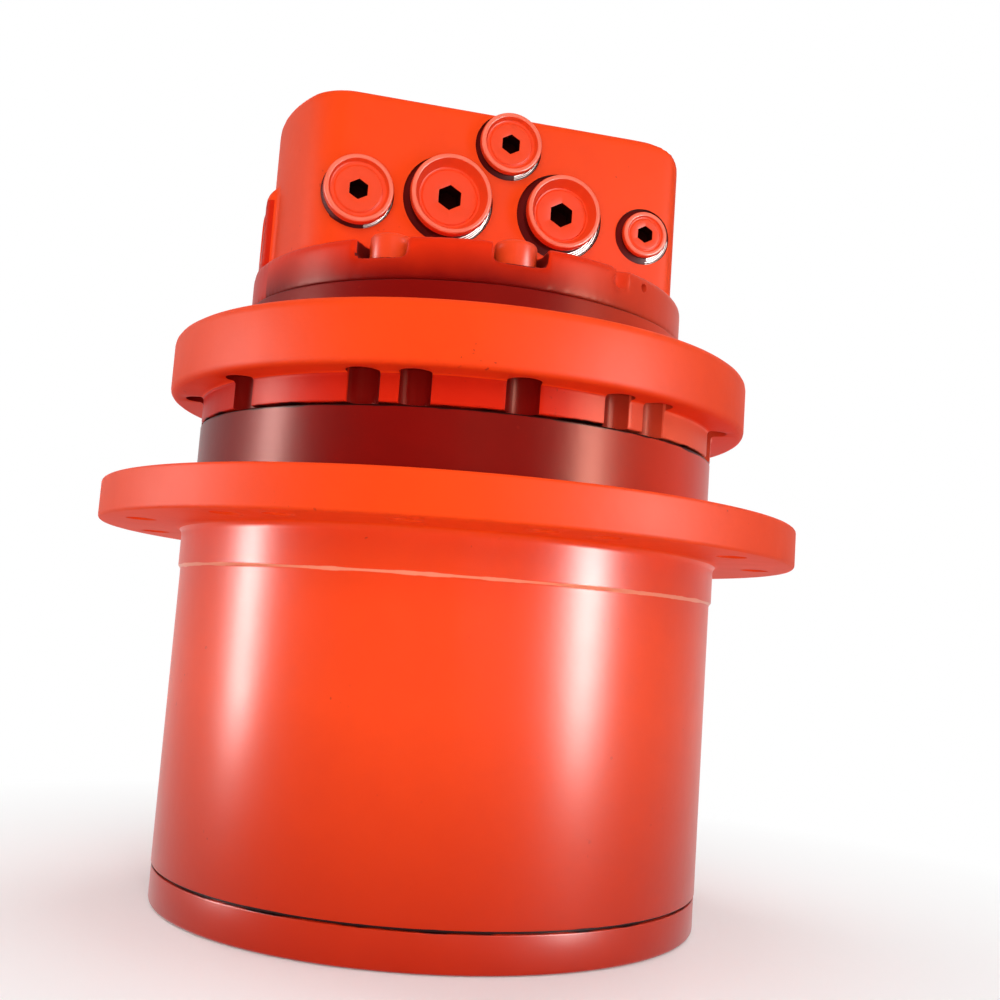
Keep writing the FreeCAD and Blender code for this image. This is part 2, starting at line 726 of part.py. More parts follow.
def ring_gear():
    """Make the ring gear, a tooth space at the first planet's angle."""
    teeth = int(size("ring_teeth"))
    inner = size(RING_PITCH + " - gear_module * tooth_height_above")
    outer = size(RING_PITCH + " + gear_module * tooth_depth_below")
    bottom = size(SPIGOT_TOP + " + 2 * fit_gap")
    height = size(RING_GEAR_TOP + " - fit_gap") - bottom
    spaces = toothed_face(teeth, FIRST_PLANET_ANGLE, inner, outer, -size("tooth_backlash") / 2)
    blank = Part.makeCylinder(size("ring_gear_radius - fit_gap"), height)
    shaped("ring_gear", blank.cut(spaces.extrude(Vector(0, 0, height))), Placement(Vector(0, 0, bottom), Rotation()))


def stage_one_planets():
    """Make the three planets of the first stage, each with a tooth pointing outwards."""
    teeth = int(size(STAGE_ONE_PLANET_TEETH))
    width = size("stage_one_width")
    bore = size("stage_one_pin_radius + fit_gap")
    for index, (across, along) in enumerate(planet_spots(STAGE_ONE_CENTRES)):
        place = Placement(Vector(size(across), size(along), size(STAGE_ONE_BOTTOM)), Rotation())
        gear = spur_gear(teeth, FIRST_PLANET_ANGLE + 120 * index, width, bore)
        shaped("stage_one_planet_" + PLANET_LETTERS[index], gear, place)


def stage_two_planets():
    """Make the three planets of the second stage with their bushes, each with a tooth pointing outwards."""
    teeth = int(size(STAGE_TWO_PLANET_TEETH))
    width = size("stage_two_width")
    bore = size("stage_two_pin_radius + planet_bush_wall")
    for index, (across, along) in enumerate(planet_spots(STAGE_TWO_CENTRES)):
        place = Placement(Vector(size(across), size(along), size(STAGE_TWO_BOTTOM)), Rotation())
        gear = spur_gear(teeth, FIRST_PLANET_ANGLE + 120 * index, width, bore)
        shaped("stage_two_planet_" + PLANET_LETTERS[index], gear, place)
        bush = turned("stage_two_bush_" + PLANET_LETTERS[index],
                      ring_profile("stage_two_pin_radius + fit_gap",
                                   "stage_two_pin_radius + planet_bush_wall - fit_gap", "0", "stage_two_width"))
        bind(bush, ".Placement.Base.x", across)
        bind(bush, ".Placement.Base.y", along)
        bind(bush, ".Placement.Base.z", STAGE_TWO_BOTTOM)


def stage_one_sun():
    """Make the first sun with its long shaft and its nose over the thrust pad."""
    teeth = int(size("stage_one_sun_teeth"))
    gear = spur_gear(teeth, FIRST_PLANET_ANGLE + 180 / teeth, size("stage_one_width"))
    gear.translate(Vector(0, 0, size(STAGE_ONE_BOTTOM)))
    nose = size("cover_rim_height - thrust_pad_seat + thrust_pad_height + side_gap")
    length = size(SHAFT_BOTTOM + " + sun_shaft_reach - side_gap") - nose
    shaft = Part.makeCylinder(size("sun_shaft_radius"), length, Vector(0, 0, nose))
    shaped("stage_one_sun", gear.fuse(shaft))


def stage_two_sun():
    """Make the hollow second sun, its neck fixed in the first carrier."""
    teeth = int(size("stage_two_sun_teeth"))
    bottom, middle, top = size(CARRIER_BOTTOM), size(CARRIER_TOP), size(STAGE_TWO_TOP)
    gear = spur_gear(teeth, FIRST_PLANET_ANGLE, top - middle)
    gear.translate(Vector(0, 0, middle))
    neck = Part.makeCylinder(size("sun_neck_radius"), middle - bottom, Vector(0, 0, bottom))
    bore = Part.makeCylinder(size("stage_two_sun_bore"), top - bottom, Vector(0, 0, bottom))
    shaped("stage_two_sun", gear.fuse(neck).cut(bore))


def stage_one_carrier():
    spots = planet_spots(STAGE_ONE_CENTRES)
    body = turned("stage_one_carrier",
                  ring_profile("sun_neck_radius + fit_gap", "carrier_radius", CARRIER_BOTTOM, CARRIER_TOP))
    holes_at(body, "stage_one_pin_holes", CARRIER_BOTTOM, "carrier_thickness", spots,
             "stage_one_pin_radius + fit_gap")
    pins = new_body("stage_one_pins")
    head_top = "%s - side_gap" % STAGE_ONE_BOTTOM
    posts_at(pins, "stage_one_pin_heads", "%s - pin_head_thickness" % head_top, "pin_head_thickness", spots,
             "stage_one_pin_radius + stage_one_pin_head")
    posts_at(pins, "stage_one_pin_shanks", head_top, "2 * side_gap + stage_one_width + carrier_thickness", spots,
             "stage_one_pin_radius")


def fixed_carrier():
    spots = planet_spots(STAGE_TWO_CENTRES)
    body = turned("fixed_carrier", ring_profile("fixed_carrier_bore", "fixed_carrier_radius",
                                                FIXED_CARRIER_BOTTOM, SPINDLE_END))
    holes_at(body, "stage_two_pin_holes", FIXED_CARRIER_BOTTOM, "fixed_carrier_thickness", spots,
             "stage_two_pin_radius + fit_gap")
    holes_at(body, "carrier_screw_clearance", FIXED_CARRIER_BOTTOM, "fixed_carrier_thickness",
             carrier_screw_spots(), "carrier_screw_radius + side_gap")
    pins = new_body("stage_two_pins")
    posts_at(pins, "stage_two_pin_heads", PIN_HEAD_BOTTOM, "pin_head_thickness", spots,
             "stage_two_pin_radius + stage_two_pin_head")
    posts_at(pins, "stage_two_pin_shanks", "%s + pin_head_thickness" % PIN_HEAD_BOTTOM,
             "2 * side_gap + stage_two_width + fixed_carrier_thickness", spots, "stage_two_pin_radius")
    screws = new_body("carrier_screws")
    head_bottom = "%s - carrier_screw_head_height" % FIXED_CARRIER_BOTTOM
    posts_at(screws, "carrier_screw_heads", head_bottom, "carrier_screw_head_height", carrier_screw_spots(),
             "carrier_screw_head_radius")
    posts_at(screws, "carrier_screw_shanks", FIXED_CARRIER_BOTTOM, "fixed_carrier_thickness + carrier_screw_reach",
             carrier_screw_spots(), "carrier_screw_radius")
    sockets_at(screws, "carrier_screw_sockets", head_bottom, "carrier_screw_head_height / 2", carrier_screw_spots(),
               "carrier_screw_key", upwards=True)


# Drum side

def hub_drum():
    seal_floor = "%s - %s" % (SEAL_PLANE, SEAL_ROOM)
    shoulder = "bearing_outer_radius - %s" % RACE_WALL
    body = turned("hub_drum", [
        ("ring_gear_radius", "cover_rim_height"),
        (DRUM_RADIUS + " - parting_groove_depth", "cover_rim_height"),
        (DRUM_RADIUS + " - parting_groove_depth", "cover_rim_height + parting_groove_height"),
        (DRUM_RADIUS, "cover_rim_height + parting_groove_height"),
        (DRUM_RADIUS, "sprocket_face_height - register_height"),
        (REGISTER_RADIUS, "sprocket_face_height - register_height + register_chamfer"),
        (REGISTER_RADIUS, "sprocket_face_height"),
        ("sprocket_flange_radius", "sprocket_face_height"),
        ("sprocket_flange_radius", SPROCKET_FLANGE_TOP),
        (NECK_RADIUS, SPROCKET_FLANGE_TOP),
        (NECK_RADIUS, HUB_TOP),
        (SEAL_BORE_RADIUS, HUB_TOP),
        (SEAL_BORE_RADIUS, seal_floor),
        ("bearing_outer_radius", seal_floor),
        ("bearing_outer_radius", UPPER_BEARING),
        (shoulder, UPPER_BEARING),
        (shoulder, DRUM_SHOULDER),
        ("bearing_outer_radius", DRUM_SHOULDER),
        ("bearing_outer_radius", SPINDLE_END),
        ("fixed_carrier_radius + fixed_carrier_room", SPINDLE_END),
        ("fixed_carrier_radius + fixed_carrier_room", RING_GEAR_TOP),
        ("ring_gear_radius", RING_GEAR_TOP),
    ])
    flange_radius = size("sprocket_flange_radius")
    face, top = size("sprocket_face_height"), size(SPROCKET_FLANGE_TOP)
    drum = round_edges(body, "register_root", body.Tip,
                       lambda edge: is_ring(edge, size(REGISTER_RADIUS), face), REGISTER_FILLET)
    drum = round_edges(body, "neck_root", drum, lambda edge: is_ring(edge, size(NECK_RADIUS), top), "neck_fillet")
    round_edges(body, "flange_rims", drum, lambda edge: is_ring(edge, flange_radius, face)
                or is_ring(edge, flange_radius, top), SPROCKET_EDGE)
    hole_ring(body, "sprocket_bolt_holes", "sprocket_face_height", "sprocket_flange_thickness",
              SPROCKET_BOLT_CIRCLE, SPROCKET_BOLT_RADIUS, "sprocket_bolt_count", DRUM_TURN)
    dowels = [polar(SPROCKET_BOLT_CIRCLE, "%s + %d * dowel_angle" % (DRUM_TURN, side)) for side in (1, -1)]
    holes_at(body, "sprocket_dowel_holes", "sprocket_face_height", "sprocket_flange_thickness", dowels,
             SPROCKET_DOWEL_RADIUS)
    hole_ring(body, "cover_screw_holes", "cover_rim_height", "cover_screw_length", "cover_screw_circle_radius",
              "cover_screw_radius + fit_gap", "cover_screw_count", DRUM_TURN)


def end_cover():
    groove = "%s - 2 * cover_seal_section - fit_gap" % COVER_SPIGOT
    groove_low = "cover_rim_height + cover_seal_height - cover_seal_section - 2 * fit_gap"
    groove_high = "cover_rim_height + cover_seal_height + cover_seal_section + 2 * fit_gap"
    seat = "cover_rim_height - thrust_pad_seat"
    body = turned("end_cover", [
        ("0", "cover_face_recess"),
        ("cover_recess_radius", "cover_face_recess"),
        ("cover_recess_radius + cover_face_recess", "0"),
        ("cover_radius - cover_edge_chamfer", "0"),
        ("cover_radius", "cover_edge_chamfer"),
        ("cover_radius", "cover_rim_height"),
        (COVER_SPIGOT, "cover_rim_height"),
        (COVER_SPIGOT, groove_low),
        (groove, groove_low),
        (groove, groove_high),
        (COVER_SPIGOT, groove_high),
        (COVER_SPIGOT, SPIGOT_TOP),
        ("%s - cover_spigot_wall" % COVER_SPIGOT, SPIGOT_TOP),
        ("%s - cover_spigot_wall" % COVER_SPIGOT, "cover_rim_height"),
        ("thrust_pad_radius + fit_gap", "cover_rim_height"),
        ("thrust_pad_radius + fit_gap", seat),
        ("0", seat),
    ])
    hole_ring(body, "cover_clearance_holes", "0", "cover_rim_height", "cover_screw_circle_radius",
              "cover_screw_radius + side_gap", "cover_screw_count", DRUM_TURN)
    hole_ring(body, "cover_head_seats", "0", "cover_screw_sink + cover_screw_head_height",
              "cover_screw_circle_radius", "cover_screw_head_radius + 4 * fit_gap", "cover_screw_count", DRUM_TURN)
    hole_ring(body, "cover_plug_holes", "0", "cover_rim_height", "cover_plug_circle_radius",
              "cover_plug_radius + fit_gap", "cover_plug_count", DRUM_TURN)
    rubber_ring("cover_seal", "%s - cover_seal_section" % COVER_SPIGOT, "cover_seal_section",
                "cover_rim_height + cover_seal_height")
    turned("thrust_pad", ring_profile("0", "thrust_pad_radius", seat, "%s + thrust_pad_height" % seat))


def cover_screws():
    body = new_body("cover_screws")
    head = new_sketch(body, "cover_screw_head", "XY_Plane", "cover_screw_sink", DRUM_TURN)
    circle(head, "cover_screw_circle_radius", "0", "cover_screw_head_radius")
    head_pad = pad(body, head, "cover_screw_head_height")
    seat = "cover_screw_sink + cover_screw_head_height"
    shank = new_sketch(body, "cover_screw_shank", "XY_Plane", seat, DRUM_TURN)
    circle(shank, "cover_screw_circle_radius", "0", "cover_screw_radius")
    shank_pad = pad(body, shank, "cover_screw_length")
    key = new_sketch(body, "cover_screw_socket", "XY_Plane", "cover_screw_sink", DRUM_TURN)
    hexagon(key, "cover_screw_circle_radius", "0", "cover_screw_key")
    socket = pocket(body, key, "cover_screw_head_height / 2", along_normal=True)
    repeat(body, [head_pad, shank_pad, socket], "cover_screw_count")


def cover_plugs():
    body = new_body("cover_plugs")
    disc = new_sketch(body, "cover_plug_disc", "XY_Plane", "cover_plug_sink", DRUM_TURN)
    circle(disc, "cover_plug_circle_radius", "0", "cover_plug_radius")
    disc_pad = pad(body, disc, "cover_rim_height - cover_plug_sink")
    key = new_sketch(body, "cover_plug_socket", "XY_Plane", "cover_plug_sink", DRUM_TURN)
    hexagon(key, "cover_plug_circle_radius", "0", "cover_plug_key")
    socket = pocket(body, key, "cover_plug_key / 2", along_normal=True)
    repeat(body, [disc_pad, socket], "cover_plug_count")


def face_seal():
    """Make the two lapped rings and their rubber rings, alike on both sides of the sealing plane."""
    for name, side in (("turning", "-"), ("fixed", "+")):
        lip = "%s %s seal_lip_height" % (SEAL_PLANE, side)
        end = "%s %s %s" % (SEAL_PLANE, side, SEAL_RING_HEIGHT)
        turned(name + "_seal_ring", [
            (SEAL_RING_INNER, SEAL_PLANE),
            (SEAL_LIP_RADIUS, SEAL_PLANE),
            (SEAL_LIP_RADIUS, lip),
            (SEAL_RING_OUTER, lip),
            (SEAL_RING_OUTER, end),
            (SEAL_RING_INNER, end),
        ])
        middle = "%s %s (seal_lip_height + %s + side_gap)" % (SEAL_PLANE, side, SEAL_RUBBER)
        ring = "(%s + %s) / 2" % (SEAL_RING_OUTER, SEAL_BORE_RADIUS)
        rubber_ring(name + "_seal_rubber", ring, SEAL_RUBBER, middle)


def main_bearings():
    """Make both roller bearings between spindle and drum, and the spacer between their inner races."""
    bore, rib = "spindle_radius + fit_gap", "%s + %s" % (INNER_RACEWAY, RACE_RIB)
    inner = [ring_profile(bore, INNER_RACEWAY, "%s + fit_gap" % DRUM_SHOULDER, "%s - fit_gap" % UPPER_BEARING)]
    outer = []
    for name, bottom in (("lower", SPINDLE_END), ("upper", UPPER_BEARING)):
        top = "%s + bearing_height" % bottom
        rib_low, rib_high = "%s + race_rib_width" % bottom, "%s - race_rib_width" % top
        inner.append([(bore, bottom), (rib, bottom), (rib, rib_low), (INNER_RACEWAY, rib_low),
                      (INNER_RACEWAY, rib_high), (rib, rib_high), (rib, top), (bore, top)])
        outer.append(ring_profile(OUTER_RACEWAY, "bearing_outer_radius - fit_gap", bottom, top))
        rollers = new_body(name + "_rollers")
        roller = new_sketch(rollers, name + "_roller", "XY_Plane", "%s + roller_end_gap" % rib_low)
        circle(roller, ROLLER_CIRCLE, "0", ROLLER_RADIUS)
        repeat(rollers, [pad(rollers, roller, ROLLER_LENGTH)], "roller_count")
        cage_inner = "%s - %s / 2" % (ROLLER_CIRCLE, CAGE_WALL)
        cage_outer = "%s + %s / 2" % (ROLLER_CIRCLE, CAGE_WALL)
        cage = turned(name + "_cage", ring_profile(cage_inner, cage_outer, "%s + cage_inset" % bottom,
                                                   "%s - cage_inset" % top))
        window = new_sketch(cage, name + "_window", "YZ_Plane", "%s - 1" % cage_inner)
        half = "(%s + roller_end_gap)" % ROLLER_RADIUS
        outline(window, [("-" + half, rib_low), (half, rib_low), (half, rib_high), ("-" + half, rib_high)])
        repeat(cage, [pocket(cage, window, "%s + 2" % CAGE_WALL, along_normal=True)], "roller_count")
    turned("bearing_inner_races", *inner)
    turned("bearing_outer_races", *outer)


# Motor housing: spindle, flange with pads and pilot in one casting

def motor_housing():
    seal_roof = "%s + %s" % (SEAL_PLANE, SEAL_ROOM)
    seal_groove = "%s - 2 * foot_seal_section" % JOINT_PLANE
    bearing_floor = "%s - shaft_bearing_height" % FLOOR_TOP
    body = turned("motor_housing", [
        ("shaft_seal_radius", SPINDLE_END),
        ("spindle_radius", SPINDLE_END),
        ("spindle_radius", SPINDLE_SHOULDER),
        (SEAL_NECK_RADIUS, SPINDLE_SHOULDER),
        (SEAL_NECK_RADIUS, seal_roof),
        (SEAL_BORE_RADIUS, seal_roof),
        (SEAL_BORE_RADIUS, HOUSING_BOTTOM),
        (PAD_RING_RADIUS, HOUSING_BOTTOM),
        (PAD_RING_RADIUS, FRAME_FLANGE_BOTTOM),
        ("frame_flange_radius", FRAME_FLANGE_BOTTOM),
        ("frame_flange_radius", FRAME_FACE),
        ("pilot_radius", FRAME_FACE),
        ("pilot_radius", JOINT_PLANE),
        ("foot_seal_radius + foot_seal_section + fit_gap", JOINT_PLANE),
        ("foot_seal_radius + foot_seal_section + fit_gap", seal_groove),
        ("foot_seal_radius - foot_seal_section - fit_gap", seal_groove),
        ("foot_seal_radius - foot_seal_section - fit_gap", JOINT_PLANE),
        ("motor_bore_radius", JOINT_PLANE),
        ("motor_bore_radius", BRAKE_SHOULDER),
        ("swash_bore_radius", BRAKE_SHOULDER),
        ("swash_bore_radius", FLOOR_TOP),
        ("shaft_bearing_outer", FLOOR_TOP),
        ("shaft_bearing_outer", bearing_floor),
        ("shaft_seal_radius", bearing_floor),
    ])
    flange_radius = size("frame_flange_radius")
    casting = bevel_edges(body, "lower_rim", body.Tip,
                          lambda edge: is_ring(edge, flange_radius, size(FRAME_FLANGE_BOTTOM)),
                          FRAME_LOWER_EDGE)
    round_edges(body, "upper_rim", casting, lambda edge: is_ring(edge, flange_radius, size(FRAME_FACE)),
                FRAME_UPPER_EDGE)
    depth = "pad_ring_height + frame_flange_thickness"
    hole_ring(body, "frame_bolt_holes", HOUSING_BOTTOM, depth, FRAME_BOLT_CIRCLE, FRAME_BOLT_RADIUS,
              "frame_bolt_count", "%d" % PORT_SIDE)
    dowels = [polar(FRAME_BOLT_CIRCLE, "%d + %d * dowel_angle" % (PORT_SIDE, side)) for side in (1, -1)]
    holes_at(body, "frame_dowel_holes", HOUSING_BOTTOM, depth, dowels, FRAME_DOWEL_RADIUS)
    holes_at(body, "block_screw_holes", JOINT_PLANE, "block_screw_length - block_screw_seat + plug_end_gap",
             block_screw_spots(), "block_screw_radius + fit_gap", upwards=False)
    holes_at(body, "carrier_screw_holes", SPINDLE_END, "carrier_screw_reach + side_gap", carrier_screw_spots(),
             "carrier_screw_radius + fit_gap")
    holes_at(body, "speed_piston_bore", FLOOR_TOP, "speed_piston_length + side_gap",
             [("0", "-speed_piston_offset")], "speed_piston_radius + fit_gap", upwards=False)
    holes_at(body, "pivot_seats", FLOOR_TOP, "pivot_ball_radius - pivot_axis_height + fit_gap", pivot_spots(),
             "pivot_ball_radius + fit_gap", upwards=False)
    rubber_ring("block_seal", "foot_seal_radius", "foot_seal_section", "%s - foot_seal_section" % JOINT_PLANE)


# Motor inside the housing

def motor_shaft():
    tail = "%s + tail_bearing_height" % BLOCK_SPIGOT_BOTTOM
    step = "%s - 2 * shaft_end_gap" % CYLINDER_BOTTOM
    bearing_floor = "%s - shaft_bearing_height" % FLOOR_TOP
    bore, bore_end = "sun_shaft_radius + fit_gap", "%s + sun_shaft_reach" % SHAFT_BOTTOM
    turned("motor_shaft", [
        (bore, SHAFT_BOTTOM),
        ("shaft_radius", SHAFT_BOTTOM),
        ("shaft_radius", bearing_floor),
        ("shaft_bearing_inner", bearing_floor),
        ("shaft_bearing_inner", FLOOR_TOP),
        ("shaft_radius", FLOOR_TOP),
        ("shaft_radius", step),
        ("block_shaft_radius", step),
        ("block_shaft_radius", BLOCK_SPIGOT_BOTTOM),
        ("tail_shaft_radius", BLOCK_SPIGOT_BOTTOM),
        ("tail_shaft_radius", tail),
        ("0", tail),
        ("0", bore_end),
        (bore, bore_end),
    ])
    turned("shaft_bearings",
           ring_profile("shaft_bearing_inner + fit_gap", "shaft_bearing_outer - fit_gap", bearing_floor, FLOOR_TOP),
           ring_profile("tail_shaft_radius + fit_gap", "tail_bearing_radius", BLOCK_SPIGOT_BOTTOM, tail))
    seal_bottom = "%s + side_gap" % SPINDLE_END
    turned("shaft_seal", ring_profile("shaft_radius + fit_gap", "shaft_seal_radius - fit_gap", seal_bottom,
                                      "%s + shaft_seal_height" % seal_bottom))


def cylinder_block():
    body = turned("cylinder_block", ring_profile("block_shaft_radius + fit_gap", "cylinder_block_radius",
                                                 CYLINDER_BOTTOM, CYLINDER_TOP))
    turn = "%d" % FIRST_PISTON_ANGLE
    hole_ring(body, "cylinder_bores", CYLINDER_BOTTOM, "%s - %s" % (CYLINDER_END, CYLINDER_BOTTOM),
              "piston_circle_radius",
              "piston_radius + fit_gap", "piston_count", turn)
    hole_ring(body, "cylinder_ports", CYLINDER_BOTTOM, "%s - %s" % (CYLINDER_TOP, CYLINDER_BOTTOM),
              "piston_circle_radius",
              "cylinder_port_radius", "piston_count", turn)


def valve_plate():
    body = turned("valve_plate", ring_profile("valve_plate_bore", "cylinder_block_radius",
                                              VALVE_PLATE_BOTTOM, BLOCK_SPIGOT_BOTTOM))
    kidney = new_sketch(body, "kidney", "XY_Plane", VALVE_PLATE_BOTTOM)
    sector(kidney, "piston_circle_radius - kidney_width / 2", "piston_circle_radius + kidney_width / 2",
           "kidney_half_angle")
    repeat(body, [pocket(body, kidney, "valve_plate_thickness", along_normal=True)], "2")


def swash_plate():
    """Make the tilting plate: a slanting top face, a flat foot and a relief for its travel."""
    body = new_body("swash_plate")
    reach = "(swash_radius + 1)"
    foot = "%s + swash_stop_gap" % FLOOR_TOP
    middle = "%s + swash_centre_height" % FLOOR_TOP
    side = new_sketch(body, "swash_side", "YZ_Plane", "-%s" % reach)
    outline(side, [
        ("-" + reach, foot),
        ("0", foot),
        (reach, "%s + %s * tan(swash_travel)" % (foot, reach)),
        (reach, "%s + %s * tan(swash_angle)" % (middle, reach)),
        ("-" + reach, "%s - %s * tan(swash_angle)" % (middle, reach)),
    ])
    pad(body, side, "2 * %s" % reach)
    rim = new_sketch(body, "swash_rim", "XY_Plane", FLOOR_TOP)
    circle(rim, "0", "0", "swash_radius")
    circle(rim, "0", "0", "2 * swash_radius")
    pocket(body, rim, "2 * swash_centre_height", along_normal=True)
    holes_at(body, "swash_hole", FLOOR_TOP, "2 * swash_centre_height", [("0", "0")], "swash_hole_radius")
    holes_at(body, "swash_pivot_seats", FLOOR_TOP, "pivot_axis_height + pivot_ball_radius + 2 * fit_gap",
             pivot_spots(), "pivot_ball_radius + 2 * fit_gap")


def swash_pivots():
    """Make the two balls that the swash plate tilts on."""
    balls = [Part.makeSphere(size("pivot_ball_radius"),
                             Vector(size(across), size(along), size(FLOOR_TOP + " + pivot_axis_height")))
             for across, along in pivot_spots()]
    shaped("swash_pivots", Part.makeCompound(balls))


def slipper_spots():
    """Give each slipper's place on the slanting face, under its cylinder bore."""
    slant = math.radians(size("swash_angle"))
    circle_radius, height = size("piston_circle_radius"), size("ball_height")
    count = int(size("piston_count"))
    spots = []
    for index in range(count):
        angle = math.radians(FIRST_PISTON_ANGLE + 360.0 * index / count)
        across = circle_radius * math.cos(angle)
        along = (circle_radius * math.sin(angle) + height * math.sin(slant)) / math.cos(slant)
        spots.append(Vector(across, along, 0))
    return spots


def slanting_place():
    """Give the place of things that lie on the swash plate's slanting face."""
    return Placement(Vector(0, 0, size(FLOOR_TOP + " + swash_centre_height")),
                     Rotation(Vector(1, 0, 0), size("swash_angle")))


def slippers():
    """Make the nine slippers with their ball cups, and the plate that holds them down."""
    gap, foot = size("fit_gap"), size("slipper_foot")
    cup_radius, cup_height = size("slipper_cup_radius"), size("slipper_cup_height")
    ball = Vector(0, 0, size("ball_height"))
    slipper = Part.makeCylinder(size("slipper_radius"), foot - gap, Vector(0, 0, gap))
    slipper = slipper.fuse(Part.makeCylinder(cup_radius, cup_height - foot + gap, Vector(0, 0, foot - gap)))
    slipper = slipper.cut(Part.makeSphere(size("ball_radius + fit_gap"), ball))
    slipper = slipper.cut(Part.makeCone(size("ball_radius"), cup_radius, cup_height, ball))
    retainer = Part.makeCylinder(size("retainer_radius"), size("retainer_thickness"), Vector(0, 0, foot + gap))
    retainer = retainer.cut(Part.makeCylinder(size("retainer_bore"), 2 * cup_height))
    feet = []
    for spot in slipper_spots():
        feet.append(slipper.translated(spot))
        retainer = retainer.cut(Part.makeCylinder(cup_radius + 5 * gap, 2 * cup_height, spot))
    shaped("slippers", Part.makeCompound(feet), slanting_place())
    shaped("retainer_plate", retainer, slanting_place())


def pistons():
    """Make the nine pistons, each ball in its slipper and each skirt in its bore."""
    radius, reach, skirt = size("piston_radius"), size(PISTON_REACH), size("piston_skirt")
    piston = Part.makeSphere(size("ball_radius"))
    piston = piston.fuse(Part.makeCylinder(size("piston_neck_radius"), skirt))
    piston = piston.fuse(Part.makeCylinder(radius, reach - skirt, Vector(0, 0, skirt)))
    place = slanting_place()
    lift = Vector(0, 0, size("ball_height"))
    shaped("pistons", Part.makeCompound([piston.translated(place.multVec(spot + lift)) for spot in slipper_spots()]))


def speed_piston():
    """Make the small piston that pushes the swash plate to its fast setting."""
    foot = "%s - speed_piston_length" % FLOOR_TOP
    body = turned("speed_piston", [
        ("0", foot),
        ("speed_piston_radius", foot),
        ("speed_piston_radius", "%s - speed_piston_nose" % FLOOR_TOP),
        ("speed_piston_nose", FLOOR_TOP),
        ("0", FLOOR_TOP),
    ])
    bind(body, ".Placement.Base.y", "-speed_piston_offset")


def parking_brake():
    """Make the plates, the discs, the piston and the disc springs of the parking brake."""
    plates, discs, washers = [], [], []
    inner, outer = "brake_piston_inner", "motor_bore_radius - fit_gap"
    for index in range(int(size("brake_disc_count")) + 1):
        plate = "%s + %d * %s" % (BRAKE_SHOULDER, index, BRAKE_PITCH)
        plates.append(ring_profile(inner, outer, plate, "%s + brake_plate_thickness" % plate))
        disc = "%s + %s / 2" % (plate, BRAKE_PITCH)
        discs.append(ring_profile("cylinder_block_radius + fit_gap", "brake_disc_radius", disc,
                                  "%s + brake_plate_thickness" % disc))
    turned("brake_plates", *plates)
    turned("brake_discs", *discs[:-1])
    turned("brake_piston", ring_profile(inner, outer, "%s + brake_gap" % BRAKE_TOP, BRAKE_PISTON_TOP))
    count = int(size("brake_spring_count"))
    step = "((%s - %s) / %d)" % (BLOCK_SPIGOT_BOTTOM, BRAKE_PISTON_TOP, count)
    for index in range(count):
        low = "%s + %d * %s + fit_gap" % (BRAKE_PISTON_TOP, index, step)
        high = "%s + %d * %s - fit_gap" % (BRAKE_PISTON_TOP, index + 1, step)
        near, far = "brake_spring_inner", "brake_spring_outer"
        if index % 2:
            near, far = far, near
        thickness = "brake_spring_share * %s" % step
        washers.append([(near, low), (far, "%s - %s" % (high, thickness)), (far, high),
                        (near, "%s + %s" % (low, thickness))])
    turned("brake_springs", *washers)


# Port block

def block_outline(sketch):
    """Draw the port block seen from above: a round body with a flat port face and a flat right side."""
    face, side, radius = size("port_face_distance"), size("block_right_side"), size("block_radius")
    left = Vector(-math.sqrt(radius ** 2 - face ** 2), -face, 0)
    corner = Vector(side, -face, 0)
    back = Vector(side, math.sqrt(radius ** 2 - side ** 2), 0)
    front_line = sketch.addGeometry(Part.LineSegment(left, corner), False)
    side_line = sketch.addGeometry(Part.LineSegment(corner, back), False)
    start, end = math.atan2(back.y, back.x), math.atan2(left.y, left.x) + 2 * math.pi
    ring = Part.Circle(Vector(), Vector(0, 0, 1), radius)
    arc = sketch.addGeometry(Part.ArcOfCircle(ring, start, end), False)
    sketch.addConstraint(Sketcher.Constraint("Coincident", front_line, 2, side_line, 1))
    sketch.addConstraint(Sketcher.Constraint("Coincident", side_line, 2, arc, 1))
    sketch.addConstraint(Sketcher.Constraint("Coincident", arc, 2, front_line, 1))
    sketch.addConstraint(Sketcher.Constraint("Coincident", arc, 3, -1, 1))
    sketch.addConstraint(Sketcher.Constraint("Horizontal", front_line))
    sketch.addConstraint(Sketcher.Constraint("Vertical", side_line))
    index = sketch.addConstraint(Sketcher.Constraint("Radius", arc, radius))
    bind(sketch, "Constraints[%d]" % index, "block_radius")
    place_point(sketch, side_line, 1, "block_right_side", "-port_face_distance")


def block_ear(body):
    """Stand the ear on the left side, its outer top edge rounded."""
    plan = new_sketch(body, "ear_plan", "XY_Plane", "%s - 1" % FOOT_TOP)
    low, high = "spool_side - ear_half_width", "spool_side + ear_half_width"
    outline(plan, [("-ear_side", low), ("-ear_inner_side", low), ("-ear_inner_side", high), ("-ear_side", high)])
    ear = pad(body, plan, "ear_top - foot_height + 1")
    side, top = -size("ear_side"), size(JOINT_PLANE + " + ear_top")
    round_edges(body, "ear_crown", ear, lambda edge: edge.BoundBox.XMax < side + 0.01
                and edge.BoundBox.ZMin > top - 0.01, "ear_round")


